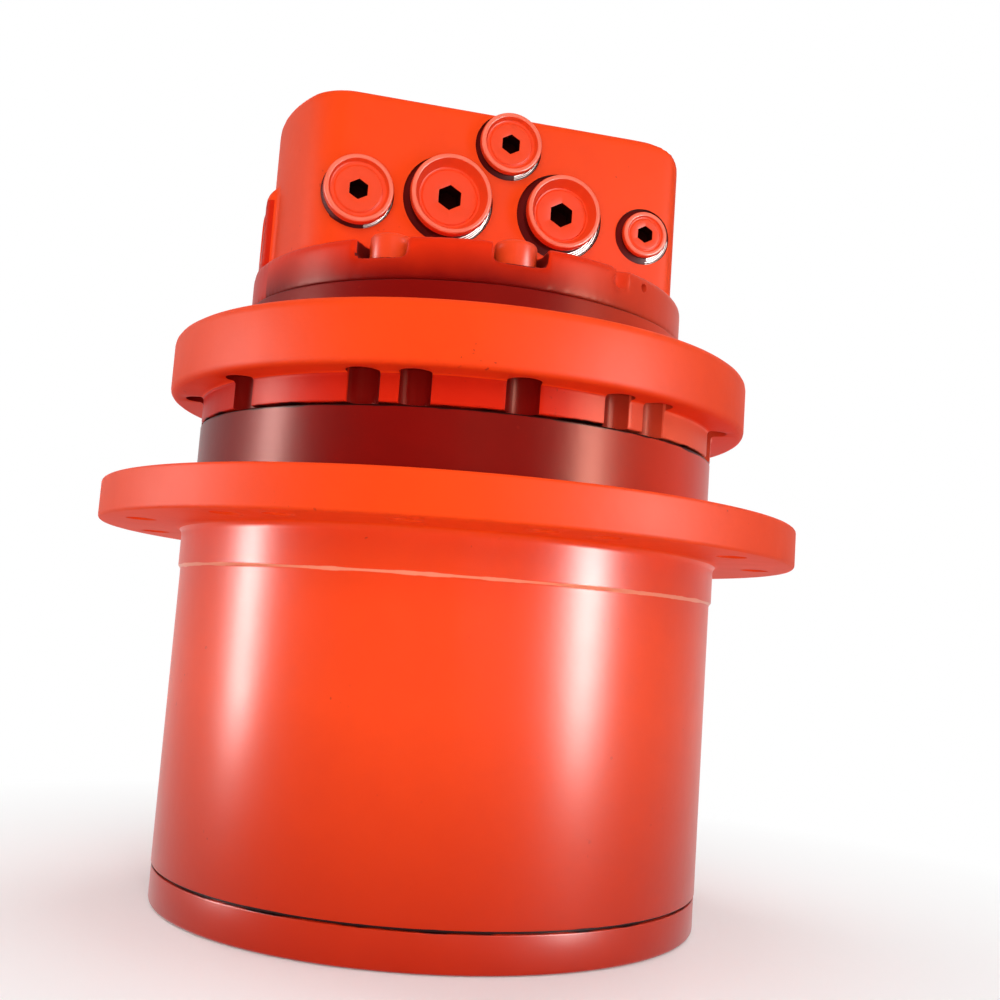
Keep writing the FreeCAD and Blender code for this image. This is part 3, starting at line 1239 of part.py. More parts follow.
def port_block():
    body = new_body("port_block")
    block_ear(body)
    plan = new_sketch(body, "block_plan", "XY_Plane", JOINT_PLANE)
    block_outline(plan)
    block = pad(body, plan, "block_height")
    side, face, top = size("block_right_side"), -size("port_face_distance"), size(BLOCK_TOP)
    block = round_edges(body, "block_shoulder", block, lambda edge: edge.BoundBox.XMin > side - 0.01
                        and edge.BoundBox.ZMin > top - 0.01, "block_shoulder_round")
    left = -math.sqrt(size("block_radius") ** 2 - face ** 2)
    block = round_edges(body, "left_corner", block, lambda edge: is_upright(edge, left, face), "face_left_round")
    round_edges(body, "block_rim", block, lambda edge: is_upright(edge, side, face), "block_edge_round")
    posts_at(body, "foot", JOINT_PLANE, "foot_height", [("0", "0")], "foot_radius")
    posts_at(body, "spigot", BLOCK_SPIGOT_BOTTOM, "block_spigot_depth", [("0", "0")], "motor_bore_radius - fit_gap")
    screw_seats(body)
    notch = polar("foot_notch_circle_radius", "%d + foot_notch_angle" % PORT_SIDE)
    holes_at(body, "foot_notch", SCREW_SEAT, "foot_height", [notch], "foot_notch_radius")
    radial_hole(body, "ear_hole", "ear_hole_angle", "ear_side", "%s + ear_hole_height" % JOINT_PLANE,
                "ear_hole_radius", "ear_hole_depth")
    radial_hole(body, "pin_hole", "pin_hole_angle", "foot_radius", "%s + pin_hole_height" % JOINT_PLANE,
                "pin_hole_radius", "pin_hole_depth")
    holes_at(body, "tail_bearing_bore", BLOCK_SPIGOT_BOTTOM, "tail_bearing_height + plug_end_gap", [("0", "0")],
             "tail_bearing_radius + fit_gap")
    for name, (across, height, radius, depth) in port_spots().items():
        sketch = new_sketch(body, name + "_port", "XZ_Plane", "port_face_distance")
        circle(sketch, across, height, radius)
        pocket(body, sketch, depth)
    spool_bores(body)


def screw_seats(body):
    """Cut the screw pockets, open to the outside, and the screw holes below them."""
    holes_at(body, "screw_pockets", SCREW_SEAT, "block_height", block_screw_spots(), "screw_pocket_radius")
    near, far = "block_screw_circle_radius", "foot_radius + screw_pocket_radius"
    for index, angle in enumerate(block_screw_angles()):
        mouth = new_sketch(body, "pocket_mouth_%d" % index, "XY_Plane", SCREW_SEAT, "%d + %s" % (PORT_SIDE, angle))
        outline(mouth, [(near, "-screw_pocket_radius"), (far, "-screw_pocket_radius"),
                        (far, "screw_pocket_radius"), (near, "screw_pocket_radius")])
        pocket(body, mouth, "block_height", along_normal=True)
    holes_at(body, "screw_holes", JOINT_PLANE, "block_screw_seat", block_screw_spots(),
             "block_screw_radius + side_gap")


def spool_bores(body):
    """Bore the spool's passage across the block, its two mouths and the oil passages."""
    inset = "spool_plug_inset"
    for name, start, length, radius, along in (
            ("spool_bore", "-%s" % inset, "2 * %s" % inset, "spool_radius", True),
            ("left_spool_mouth", "-%s" % inset, "ear_side - %s" % inset, "spool_plug_radius", False),
            ("right_spool_mouth", inset, "block_right_side - %s" % inset, "spool_plug_radius", True)):
        sketch = new_sketch(body, name, "YZ_Plane", start)
        circle(sketch, "spool_side", SPOOL_AXIS, "%s + fit_gap" % radius)
        pocket(body, sketch, length, along_normal=along)
    spots = [("piston_circle_radius", "spool_side"), ("-piston_circle_radius", "spool_side")]
    holes_at(body, "kidney_passages", BLOCK_SPIGOT_BOTTOM, "block_spigot_depth + spool_height", spots,
             "oil_passage_radius")
    for name in ("left", "right"):
        across, height = port_spots()[name][:2]
        sketch = new_sketch(body, name + "_passage", "XZ_Plane", "port_face_distance")
        circle(sketch, across, height, "oil_passage_radius")
        pocket(body, sketch, "port_face_distance")


def block_screws():
    """Make the cap screws of the port block, each with a hexagon socket."""
    body = new_body("block_screws")
    spots = block_screw_spots()
    posts_at(body, "block_screw_shanks", "%s - block_screw_length" % SCREW_SEAT, "block_screw_length", spots,
             "block_screw_radius")
    posts_at(body, "block_screw_heads", SCREW_SEAT, "block_screw_head_height", spots, "block_screw_head_radius")
    sockets_at(body, "block_screw_sockets", "%s + block_screw_head_height" % SCREW_SEAT,
               "block_screw_head_height / 2", spots, "block_screw_key")


# Ports and plugs

def port_spots():
    """Give each port's place on the face, with the radius and depth of its bore."""
    low = "%s + large_port_height" % JOINT_PLANE
    outer = "%s + outer_port_height" % JOINT_PLANE
    high = "%s + top_port_height" % JOINT_PLANE
    return {
        "left": ("port_centre - large_port_offset", low, "large_port_radius", "large_port_depth"),
        "right": ("port_centre + large_port_offset", low, "large_port_radius", "large_port_depth"),
        "drain": ("port_centre - outer_port_offset", outer, "medium_port_radius", "medium_port_depth"),
        "case": ("port_centre", high, "medium_port_radius", "medium_port_depth"),
        "pilot": ("port_centre + outer_port_offset", outer, "small_port_radius", "small_port_depth"),
    }


def port_plug(port, family, head_radius):
    """Make a port plug with a collar, a dished head and a hexagon socket, and put it in its port."""
    across, height, port_radius, port_depth = port_spots()[port]
    name = port + "_plug"
    top = "%s_plug_height" % family
    edge = "%s - %s_plug_chamfer" % (head_radius, family)
    rim = "%s - %s_plug_rim" % (edge, family)
    dish = "%s - plug_dish_depth" % top
    body = turned(name, [
        ("0", "plug_end_gap - %s" % port_depth),
        ("%s - fit_gap" % port_radius, "plug_end_gap - %s" % port_depth),
        ("%s - fit_gap" % port_radius, "0"),
        ("%s_plug_collar" % family, "0"),
        ("%s_plug_collar" % family, "plug_collar_height"),
        (head_radius, "plug_collar_height"),
        (head_radius, "%s - %s_plug_chamfer" % (top, family)),
        (edge, top),
        (rim, top),
        ("%s - plug_dish_depth" % rim, dish),
        ("0", dish),
    ])
    sockets_at(body, name + "_socket", top, "%s_plug_key" % family, [("0", "0")], "%s_plug_key" % family)
    body.Placement = Placement(Vector(), Rotation(Vector(1, 0, 0), 90))
    bind(body, ".Placement.Base.x", across)
    bind(body, ".Placement.Base.y", "-port_face_distance")
    bind(body, ".Placement.Base.z", height)


def spool_parts():
    """Make the counterbalance spool, its springs and its end plugs, all along the X axis."""
    groove_low = "spool_groove_offset - spool_groove_width / 2"
    groove_high = "spool_groove_offset + spool_groove_width / 2"
    neck = "spool_radius - spool_groove_depth"
    spool = turned("counterbalance_spool", [
        ("0", "-spool_half_length"), ("spool_radius", "-spool_half_length"),
        ("spool_radius", "-(%s)" % groove_high), (neck, "-(%s)" % groove_high),
        (neck, "-(%s)" % groove_low), ("spool_radius", "-(%s)" % groove_low),
        ("spool_radius", groove_low), (neck, groove_low),
        (neck, groove_high), ("spool_radius", groove_high),
        ("spool_radius", "spool_half_length"), ("0", "spool_half_length"),
    ])
    inner = "spool_spring_radius - spool_spring_wall"
    near, far = "spool_half_length + fit_gap", "spool_plug_inset - fit_gap"
    springs = turned("spool_springs",
                     ring_profile(inner, "spool_spring_radius", "-(%s)" % far, "-(%s)" % near),
                     ring_profile(inner, "spool_spring_radius", near, far))
    left_end, right_end = "-(ear_side - spool_plug_sink)", "block_right_side - spool_plug_sink"
    plugs = turned("spool_plugs",
                   ring_profile("0", "spool_plug_radius", left_end, "-spool_plug_inset"),
                   ring_profile("0", "spool_plug_radius", "spool_plug_inset", right_end))
    sockets_at(plugs, "left_spool_socket", left_end, "spool_plug_key / 2", [("0", "0")], "spool_plug_key", True)
    sockets_at(plugs, "right_spool_socket", right_end, "spool_plug_key / 2", [("0", "0")], "spool_plug_key")
    for body in (spool, springs, plugs):
        body.Placement = Placement(Vector(), Rotation(Vector(0, 1, 0), 90))
        bind(body, ".Placement.Base.y", "spool_side")
        bind(body, ".Placement.Base.z", SPOOL_AXIS)


def check_and_write():
    """Check every object, then write one STEP file for each sub-part."""
    doc.recompute()
    for item in doc.Objects:
        if "Invalid" in item.State or "Error" in item.State:
            raise RuntimeError("%s is not built: %s" % (item.Name, item.State))
    os.makedirs("parts", exist_ok=True)
    for item in subparts:
        shape = item.Shape
        if shape.isNull() or not shape.isValid() or not shape.Solids:
            raise RuntimeError("%s has no valid solid" % item.Label)
        shape.exportStep("parts/%s.step" % item.Label)
        print("%-24s %9.1f mm3  %d solids" % (item.Label, shape.Volume, len(shape.Solids)))


hub_drum()
end_cover()
cover_screws()
cover_plugs()
ring_gear()
face_seal()
main_bearings()
stage_one_planets()
stage_two_planets()
stage_one_sun()
stage_two_sun()
stage_one_carrier()
fixed_carrier()
motor_housing()
motor_shaft()
cylinder_block()
valve_plate()
swash_plate()
swash_pivots()
slippers()
pistons()
speed_piston()
parking_brake()
port_block()
block_screws()
port_plug("left", "large", "left_plug_radius")
port_plug("right", "large", "right_plug_radius")
port_plug("drain", "medium", "drain_plug_radius")
port_plug("case", "medium", "case_plug_radius")
port_plug("pilot", "small", "small_plug_radius")
spool_parts()
check_and_write()
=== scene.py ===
"""The looks of an excavator final drive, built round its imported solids.

The castings, screws and port plugs that show are modelled here with soft cast edges, chamfers and
sockets, and painted orange. The gear train, bearings, seals and motor inside keep their solids and
get metal, bronze and rubber finishes. Everything is in metres, +Z along the drive axis.
"""

import json
import logging
import math
from contextlib import contextmanager
from dataclasses import dataclass
from enum import Enum
from typing import Callable, ClassVar, Iterable, Iterator, List, Mapping, NamedTuple, Sequence, Tuple, Union

import bmesh
import bpy
from mathutils import Matrix, Vector


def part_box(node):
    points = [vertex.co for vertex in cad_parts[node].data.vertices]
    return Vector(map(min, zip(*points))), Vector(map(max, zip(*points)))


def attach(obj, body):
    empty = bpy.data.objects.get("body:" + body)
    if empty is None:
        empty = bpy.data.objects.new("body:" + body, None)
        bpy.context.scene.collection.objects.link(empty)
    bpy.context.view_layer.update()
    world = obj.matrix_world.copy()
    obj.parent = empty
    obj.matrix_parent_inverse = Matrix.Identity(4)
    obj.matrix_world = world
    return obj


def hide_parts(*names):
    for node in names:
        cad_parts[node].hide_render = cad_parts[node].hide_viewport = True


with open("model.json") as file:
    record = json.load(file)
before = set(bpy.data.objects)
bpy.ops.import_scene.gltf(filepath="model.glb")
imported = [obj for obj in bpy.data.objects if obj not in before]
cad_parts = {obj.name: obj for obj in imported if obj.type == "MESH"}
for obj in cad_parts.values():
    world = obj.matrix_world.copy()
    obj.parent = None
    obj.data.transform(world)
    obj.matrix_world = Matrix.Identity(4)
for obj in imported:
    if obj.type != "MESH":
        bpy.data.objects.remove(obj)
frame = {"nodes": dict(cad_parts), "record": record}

MM = 0.001
FULL_TURN = 2 * math.pi
PORT_SIDE = math.radians(-90)
PAINT_SLOT = "orange_paint"
log = logging.getLogger("final_drive")

Colour = Tuple[float, float, float]
Spot = Tuple[float, float]
Piece = bpy.types.Object
Face = bpy.types.MeshPolygon
Tree = bpy.types.NodeTree
Socket = bpy.types.NodeSocket
Sockets = Mapping[str, bpy.types.NodeSocket]
Value = Union[float, Tuple[float, ...], Socket]


# Modelling steps

class Corner(NamedTuple):
    """One corner of a turned profile: its radius, its height and how far it is rounded, in metres."""

    radius: float
    height: float
    rounding: float = 0.0


class Axis(Enum):
    """A direction that a bore or a plug points in, as the turn that takes +Z there."""

    X = (math.pi / 2, "Y")
    MINUS_Y = (math.pi / 2, "X")


def start_clean() -> None:
    """Leave edit mode and deselect everything."""
    if bpy.context.object and bpy.context.object.mode != "OBJECT":
        bpy.ops.object.mode_set(mode="OBJECT")
    bpy.ops.object.select_all(action="DESELECT")


def make_active(piece: Piece) -> None:
    """Select one object alone and make it the active one.

    Args:
        piece: The object.
    """
    start_clean()
    piece.select_set(True)
    bpy.context.view_layer.objects.active = piece


def newest(name: str) -> Piece:
    """Name the object that the last step made, and move its place and size into its mesh.

    Args:
        name: Its new name.

    Returns:
        The object.
    """
    piece = bpy.context.object
    piece.name = name
    piece.data.name = name
    bpy.ops.object.transform_apply(location=True, rotation=True, scale=True)
    return piece


@contextmanager
def editing(piece: Piece) -> Iterator[None]:
    """Open one object in edit mode for a block of steps.

    Args:
        piece: The object.

    Yields:
        Nothing, once, while it is open.
    """
    make_active(piece)
    bpy.ops.object.mode_set(mode="EDIT")
    yield
    bpy.ops.object.mode_set(mode="OBJECT")


def select_mesh() -> None:
    """Select the whole mesh that is in edit mode."""
    bpy.ops.mesh.select_all(action="SELECT")


def shrink_to_vertex() -> None:
    """Shrink the plane that is in edit mode to the one vertex that an outline is drawn from."""
    bpy.ops.mesh.select_mode(type="VERT")
    select_mesh()
    bpy.ops.mesh.merge(type="CENTER")


def extrude(x: float, y: float, z: float) -> None:
    """Extrude what is selected in edit mode."""
    bpy.ops.mesh.extrude_region_move(TRANSFORM_OT_translate={"value": (x, y, z)})


def select_where(piece: Piece, kind: str, test: Callable[[object], bool]) -> int:
    """Select the vertices, edges or faces of an object in edit mode that pass a test.

    Args:
        piece: The object, which is in edit mode.
        kind: "verts", "edges" or "faces".
        test: Says for each of them whether it is selected.

    Returns:
        How many were selected.
    """
    modes = {"verts": "VERT", "edges": "EDGE", "faces": "FACE"}
    bpy.ops.mesh.select_mode(type=modes[kind])
    bpy.ops.mesh.select_all(action="DESELECT")
    mesh = bmesh.from_edit_mesh(piece.data)
    chosen = [item for item in getattr(mesh, kind) if test(item)]
    for item in chosen:
        item.select_set(True)
    mesh.select_flush_mode()
    bmesh.update_edit_mesh(piece.data)
    return len(chosen)


def apply_modifier(piece: Piece, kind: str, **settings: object) -> None:
    """Add a modifier and apply it.

    Args:
        piece: The object.
        kind: The modifier's type.
        settings: The modifier's properties.
    """
    make_active(piece)
    bpy.ops.object.modifier_add(type=kind)
    modifier = piece.modifiers[-1]
    for name, value in settings.items():
        setattr(modifier, name, value)
    bpy.ops.object.modifier_apply(modifier=modifier.name)


def turned(name: str, corners: Sequence[Corner], steps: int = 192, arc_steps: int = 4) -> Piece:
    """Draw a closed profile, round its corners and spin it about the Z axis.

    Args:
        name: The new object's name.
        corners: The profile, in order.
        steps: How many steps a full turn has.
        arc_steps: How many segments a rounded corner has.

    Returns:
        The turned piece, a closed shell.
    """
    start_clean()
    bpy.ops.mesh.primitive_plane_add(size=MM, location=(corners[0].radius, 0, corners[0].height))
    piece = newest(name)
    with editing(piece):
        shrink_to_vertex()
        for before, corner in zip(corners, corners[1:]):
            extrude(corner.radius - before.radius, 0, corner.height - before.height)
        select_mesh()
        bpy.ops.mesh.edge_face_add()
        for corner in corners:
            if corner.rounding:
                place = Vector((corner.radius, 0, corner.height))
                select_where(piece, "verts", lambda vert, place=place: (vert.co - place).length < 0.02 * MM)
                bpy.ops.mesh.bevel(offset_type="OFFSET", offset=corner.rounding, segments=arc_steps,
                                   profile=0.5, affect="VERTICES")
        select_mesh()
        bpy.ops.mesh.delete(type="ONLY_FACE")
        if select_where(piece, "edges", lambda edge: all(abs(vert.co.x) < 0.001 * MM for vert in edge.verts)):
            bpy.ops.mesh.delete(type="EDGE")
        select_mesh()
        bpy.ops.mesh.spin(steps=steps, angle=FULL_TURN, center=(0, 0, 0), axis=(0, 0, 1))
        select_mesh()
        bpy.ops.mesh.remove_doubles(threshold=0.002 * MM)
        bpy.ops.mesh.normals_make_consistent(inside=False)
    return piece


def round_post(name: str, spot: Spot, radius: float, low: float, high: float, flare: float = 0.0,
               sides: int = 32) -> Piece:
    """Stand a round post, its two ends flared by a short cone so that it cuts chamfered mouths.

    Args:
        name: The new object's name.
        spot: The place of its axis.
        radius: Its radius.
        low: The height of its lower end.
        high: The height of its upper end.
        flare: How much wider and how long each flared end is.
        sides: How many sides it has.

    Returns:
        The post.
    """
    start_clean()
    bpy.ops.mesh.primitive_cylinder_add(vertices=sides, radius=radius, depth=high - low - 2 * flare,
                                        location=(*spot, (low + high) / 2))
    piece = newest(name)
    if flare:
        grow = (radius + flare) / radius
        with editing(piece):
            for sign in (-1, 1):
                select_where(piece, "faces", lambda face, sign=sign: face.normal.z * sign > 0.9)
                extrude(0, 0, sign * flare)
                bpy.ops.transform.resize(value=(grow, grow, 1))
    return piece


def box_piece(name: str, middle: Sequence[float], size: Sequence[float]) -> Piece:
    """Make a box from its middle and its three sizes.

    Args:
        name: The box's name.
        middle: Its middle.
        size: Its three sizes.

    Returns:
        The box.
    """
    start_clean()
    bpy.ops.mesh.primitive_cube_add(size=1, location=middle, scale=size)
    return newest(name)


def joined(name: str, pieces: Sequence[Piece]) -> Piece:
    """Join several objects into the first one.

    Args:
        name: The joined object's name.
        pieces: The objects.

    Returns:
        The joined object.
    """
    start_clean()
    for piece in pieces:
        piece.select_set(True)
    bpy.context.view_layer.objects.active = pieces[0]
    bpy.ops.object.join()
    return newest(name)


def combine(piece: Piece, other: Piece, operation: str) -> None:
    """Cut another object out of a piece or fuse it on, then remove the other object."""
    apply_modifier(piece, "BOOLEAN", operation=operation, object=other, solver="EXACT")
    bpy.data.objects.remove(other)


def cut_socket(piece: Piece, across: float, low: float, high: float) -> None:
    """Cut a hexagon socket, given by its size across the flats and its two heights."""
    key = round_post("key", (0, 0), across / math.sqrt(3), low, high, sides=6)
    combine(piece, key, "DIFFERENCE")


def turn_into_place(piece: Piece, axis: Axis, place: Vector) -> None:
    """Turn a piece that was made along Z so that it points along an axis, and move it to its place."""
    angle, about = axis.value
    piece.data.transform(Matrix.Translation(place) @ Matrix.Rotation(angle, 4, about))


def soften(piece: Piece, width: float, angle: float = 35.0) -> None:
    """Round all edges that are sharper than an angle, then shade the piece smooth.

    Args:
        piece: The object.
        width: How far an edge is rounded.
        angle: The angle, in degrees.
    """
    with editing(piece):
        select_mesh()
        bpy.ops.mesh.remove_doubles(threshold=0.004 * MM)
        bpy.ops.mesh.dissolve_degenerate(threshold=0.004 * MM)
    apply_modifier(piece, "BEVEL", width=width, segments=2, limit_method="ANGLE",
                   angle_limit=math.radians(angle), use_clamp_overlap=True, miter_outer="MITER_SHARP")
    shade(piece)


def shade(piece: Piece, angle: float = 32.0) -> None:
    """Shade a piece smooth, apart from edges sharper than an angle in degrees."""
    make_active(piece)
    bpy.ops.object.shade_smooth_by_angle(angle=math.radians(angle))


def on_circle(radius: float, angle: float) -> Spot:
    """Give the place at an angle on a circle round the Z axis."""
    return radius * math.cos(angle), radius * math.sin(angle)


def ring_spots(radius: float, count: int, first: float) -> List[Spot]:
    """Give evenly spaced places on a circle, from a first angle in radians."""
    return [on_circle(radius, first + FULL_TURN * index / count) for index in range(count)]


def off_axis(face: Face) -> float:
    """Measure how far the middle of a face is from the Z axis."""
    return math.hypot(face.center.x, face.center.y)


def settle(piece: Piece, body: str, node: str) -> None:
    """Let a painted piece ride on its body and stand for its node.

    Args:
        piece: The object.
        body: The body that it rides on.
        node: The node that it stands for.
    """
    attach(piece, body)
    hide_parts(node)
    log.info("%s: %d faces, rides on %s", piece.name, len(piece.data.polygons), body)


def repeat(model: Piece, name: str, body: str, node: str, moves: Iterable[Matrix]) -> None:
    """Copy a model to each of its places, with a mesh of its own, then remove the model.

    Args:
        model: The piece that is copied.
        name: The copies' name, which a number follows.
        body: The body that they ride on.
        node: The node that they stand for.
        moves: Where each copy goes.
    """
    for number, move in enumerate(moves, start=1):
        make_active(model)
        bpy.ops.object.duplicate(linked=False)
        copy = newest("%s_%d" % (name, number))
        copy.data.transform(move)
        settle(copy, body, node)
    bpy.data.objects.remove(model)


# Shader groups

class Wiring:
    """Adds nodes to a tree and links them."""

    def __init__(self, tree: Tree) -> None:
        """Keep the tree that is wired."""
        self.tree = tree

    def node(self, kind: str, **settings: object) -> bpy.types.Node:
        """Add a node.

        Args:
            kind: The node's type.
            settings: The node's properties.

        Returns:
            The node.
        """
        node = self.tree.nodes.new(kind)
        for name, value in settings.items():
            setattr(node, name, value)
        return node

    def link(self, source: Socket, target: Socket) -> None:
        """Link one socket to another."""
        self.tree.links.new(source, target)

    def feed(self, value: Value, target: Socket) -> None:
        """Give a socket a value, or link it to another socket.

        Args:
            value: A value, or the socket that gives it.
            target: The socket that gets it.
        """
        if isinstance(value, bpy.types.NodeSocket):
            self.link(value, target)
        else:
            target.default_value = value

    def fed(self, kind: str, *values: Value, **settings: object) -> Sockets:
        """Add a node and feed its first inputs in order.

        Args:
            kind: The node's type.
            values: What its inputs get.
            settings: The node's properties.

        Returns:
            The node's outputs.
        """
        node = self.node(kind, **settings)
        for value, target in zip(values, node.inputs):
            self.feed(value, target)
        return node.outputs

    def named(self, node: bpy.types.Node, **values: Value) -> Sockets:
        """Feed a node's inputs by name.

        Args:
            node: The node.
            values: What each named input gets.

        Returns:
            The node's outputs.
        """
        for name, value in values.items():
            self.feed(value, node.inputs[name])
        return node.outputs

    def group(self, tree: Tree, **values: Value) -> Sockets:
        """Add a shader group and feed its inputs by name."""
        return self.named(self.node("ShaderNodeGroup", node_tree=tree), **values)

    def noise(self, place: Socket, scale: Value, detail: float) -> Socket:
        """Add a noise texture at some coordinates, with its scale and its number of finer layers."""
        return self.named(self.node("ShaderNodeTexNoise"), Vector=place, Scale=scale, Detail=detail)["Fac"]

    def bump(self, height: Socket, distance: Value) -> Socket:
        """Turn a height into a normal."""
        node = self.node("ShaderNodeBump")
        return self.named(node, Strength=1.0, Distance=distance, Height=height)["Normal"]

    def maths(self, operation: str, *values: Value) -> Socket:
        """Add a Math node and return its value."""
        return self.fed("ShaderNodeMath", *values, operation=operation)[0]

    def spread(self, value: Socket, low: Value, high: Value, start: float = 0.0, end: float = 1.0) -> Socket:
        """Map a value's range to another one, held at its ends."""
        return self.fed("ShaderNodeMapRange", value, low, high, start, end, clamp=True)[0]

    def mix(self, share: Value, first: Value, second: Value) -> Socket:
        """Mix two colours."""
        node = self.node("ShaderNodeMix", data_type="RGBA")
        return self.named(node, Factor=share, A=first, B=second)["Result"]

    def blend(self, share: Socket, first: Socket, second: Socket) -> Socket:
        """Mix two shaders."""
        return self.fed("ShaderNodeMixShader", share, first, second)[0]

    def glow(self, kind: str, strength: float) -> Socket:
        """Add a white Background or Emission shader."""
        return self.named(self.node(kind), Color=WHITE, Strength=strength)[0]

    def object_place(self) -> Socket:
        """Give the object's own coordinates."""
        return self.node("ShaderNodeTexCoord").outputs["Object"]

    def parts(self, place: Socket) -> Sockets:
        """Split coordinates into X, Y and Z."""
        return self.fed("ShaderNodeSeparateXYZ", place)

    def shown_directly(self) -> Socket:
        """Give one on camera, glossy and transmission rays, and none on the rays that light things.

        Returns:
            The mask.
        """
        rays = self.node("ShaderNodeLightPath").outputs
        near = self.maths("MAXIMUM", rays["Is Camera Ray"], rays["Is Glossy Ray"])
        return self.maths("MAXIMUM", near, rays["Is Transmission Ray"])


class NewGroup(Wiring):
    """Wires a new shader group, from its inputs and the object's coordinates to its outputs."""

    kinds: ClassVar = {"VALUE": "NodeSocketFloat", "RGBA": "NodeSocketColor", "VECTOR": "NodeSocketVector"}

    def __init__(self, name: str, **defaults: Value) -> None:
        """Start the group.

        Args:
            name: The group's name.
            defaults: The default of each input, a number or a colour.
        """
        super().__init__(bpy.data.node_groups.new(name, "ShaderNodeTree"))
        for label, default in defaults.items():
            kind = self.kinds["RGBA" if isinstance(default, tuple) else "VALUE"]
            socket = self.tree.interface.new_socket(name=label, in_out="INPUT", socket_type=kind)
            socket.default_value = default
        self.entry = self.node("NodeGroupInput").outputs
        self.place = self.object_place()

    def give(self, **results: Socket) -> Tree:
        """Link the group's outputs.

        Args:
            results: What each named output gives.

        Returns:
            The finished group.
        """
        for label, source in results.items():
            self.tree.interface.new_socket(name=label, in_out="OUTPUT", socket_type=self.kinds[source.type])
        self.named(self.node("NodeGroupOutput"), **results)
        return self.tree


class ShaderGroups:
    """The node groups that more than one finish uses."""

    def __init__(self) -> None:
        """Build each group once."""
        self.cloud = self._cloud()
        self.skin = self._skin()
        self.specks = self._specks()
        # The height fade darkens paint towards the bottom as painted shade; the side fade lightens one side
        # as painted light.
        self.height_fade = self._fade("height_fade", "Z")
        self.side_fade = self._fade("side_fade", "X")
        self.turning_marks = self._turning_marks()
        self.seam_dirt = self._seam_dirt()

    @staticmethod
    def _cloud() -> Tree:
        """Large soft patches in which a colour is a little lighter or darker.

        Returns:
            The group.
        """
        wire = NewGroup("colour_cloud", Colour=WHITE, Darker=WHITE, Patches=14.0, Share=0.5)
        entry, place = wire.entry, wire.place
        broad = wire.noise(place, entry["Patches"], 3.0)
        fine = wire.noise(place, wire.maths("MULTIPLY", entry["Patches"], 6.0), 5.0)
        both = wire.maths("MULTIPLY_ADD", fine, 0.35, wire.maths("MULTIPLY", broad, 0.65))
        mask = wire.maths("MULTIPLY", wire.spread(both, 0.38, 0.66), entry["Share"])
        return wire.give(Colour=wire.mix(mask, entry["Colour"], entry["Darker"]), Mask=mask)

    @staticmethod
    def _skin() -> Tree:
        """The fine waves of sprayed paint over the coarser skin of a casting.

        Returns:
            The group.
        """
        wire = NewGroup("paint_skin", Waves=260.0, Cast=90.0, Share=0.5, Height=0.00006)
        entry, place = wire.entry, wire.place
        waves = wire.noise(place, entry["Waves"], 2.0)
        cast = wire.noise(place, entry["Cast"], 6.0)
        height = wire.maths("ADD", waves, wire.maths("MULTIPLY", cast, entry["Share"]))
        return wire.give(Normal=wire.bump(height, entry["Height"]))

    @staticmethod
    def _specks() -> Tree:
        """Small dark chips, scattered thinly.

        Returns:
            The group.
        """
        wire = NewGroup("paint_specks", Spread=42.0, Share=0.6)
        entry, place = wire.entry, wire.place
        chips = wire.noise(place, wire.maths("MULTIPLY", entry["Spread"], 9.0), 1.0)
        areas = wire.spread(wire.noise(place, entry["Spread"], 2.0), 0.62, 0.70)
        mask = wire.maths("MULTIPLY", wire.spread(chips, 0.70, 0.74), areas)
        return wire.give(Mask=wire.maths("MULTIPLY", mask, entry["Share"]))

    @staticmethod
    def _fade(name: str, axis: str) -> Tree:
        """One up to a first place along an axis, fading to none at a second one, a little unevenly.

        Args:
            name: The group's name.
            axis: The axis's letter.

        Returns:
            The group.
        """
        wire = NewGroup(name, Full=0.0, Empty=0.1)
        uneven = wire.spread(wire.noise(wire.place, 24.0, 4.0), 0.3, 0.7, -3 * MM, 3 * MM)
        reading = wire.maths("ADD", wire.parts(wire.place)[axis], uneven)
        return wire.give(Mask=wire.spread(reading, wire.entry["Full"], wire.entry["Empty"], 1.0, 0.0))

    @staticmethod
    def _turning_marks() -> Tree:
        """Fine circular lines that a lathe leaves round the Z axis.

        Returns:
            The group.
        """
        wire = NewGroup("turning_marks", Pitch=1800.0, Height=0.00001)
        parts = wire.parts(wire.place)
        squares = [wire.maths("POWER", parts[axis], 2.0) for axis in "XY"]
        across = wire.maths("SQRT", wire.maths("ADD", *squares))
        lines = wire.named(wire.node("ShaderNodeCombineXYZ"), X=across, Z=parts["Z"])[0]
        mask = wire.noise(lines, wire.entry["Pitch"], 2.0)
        return wire.give(Mask=mask, Normal=wire.bump(mask, wire.entry["Height"]))

    @staticmethod
    def _seam_dirt() -> Tree:
        """Dirt and broken paint along a level seam, or a painted highlight line along an edge, its border
        uneven.

        Returns:
            The group.
        """
        wire = NewGroup("seam_dirt", Level=0.0, Reach=0.0012, Breaks=60.0)
        entry, place = wire.entry, wire.place
        away = wire.maths("ABSOLUTE", wire.maths("SUBTRACT", wire.parts(place)["Z"], entry["Level"]))
        breaks = wire.spread(wire.noise(place, entry["Breaks"], 4.0), 0.4, 0.7, 0.6, 1.3)
        share = wire.maths("DIVIDE", away, wire.maths("MULTIPLY", entry["Reach"], breaks))
        return wire.give(Mask=wire.spread(share, 0.7, 1.1, 1.0, 0.0))


# Finishes

def rgba(colour: Colour) -> Tuple[float, float, float, float]:
    """Give a colour its alpha."""
    return (*colour, 1.0)


WHITE = rgba((1.0, 1.0, 1.0))
ORANGE: Colour = (0.87, 0.058, 0.005)
ORANGE_DARKER: Colour = (0.78, 0.046, 0.004)
# Dark red of the thin paint on neck and pilot; as the pilot paint's fade colour it is painted shade on the
# block's foot and in the bolt notches.
THIN_PAINT_AND_SHADE_RED: Colour = (0.20, 0.003, 0.002)
THIN_DARKER: Colour = (0.13, 0.003, 0.002)
SPECK: Colour = (0.30, 0.015, 0.006)
SEAM_DARK: Colour = (0.02, 0.003, 0.003)
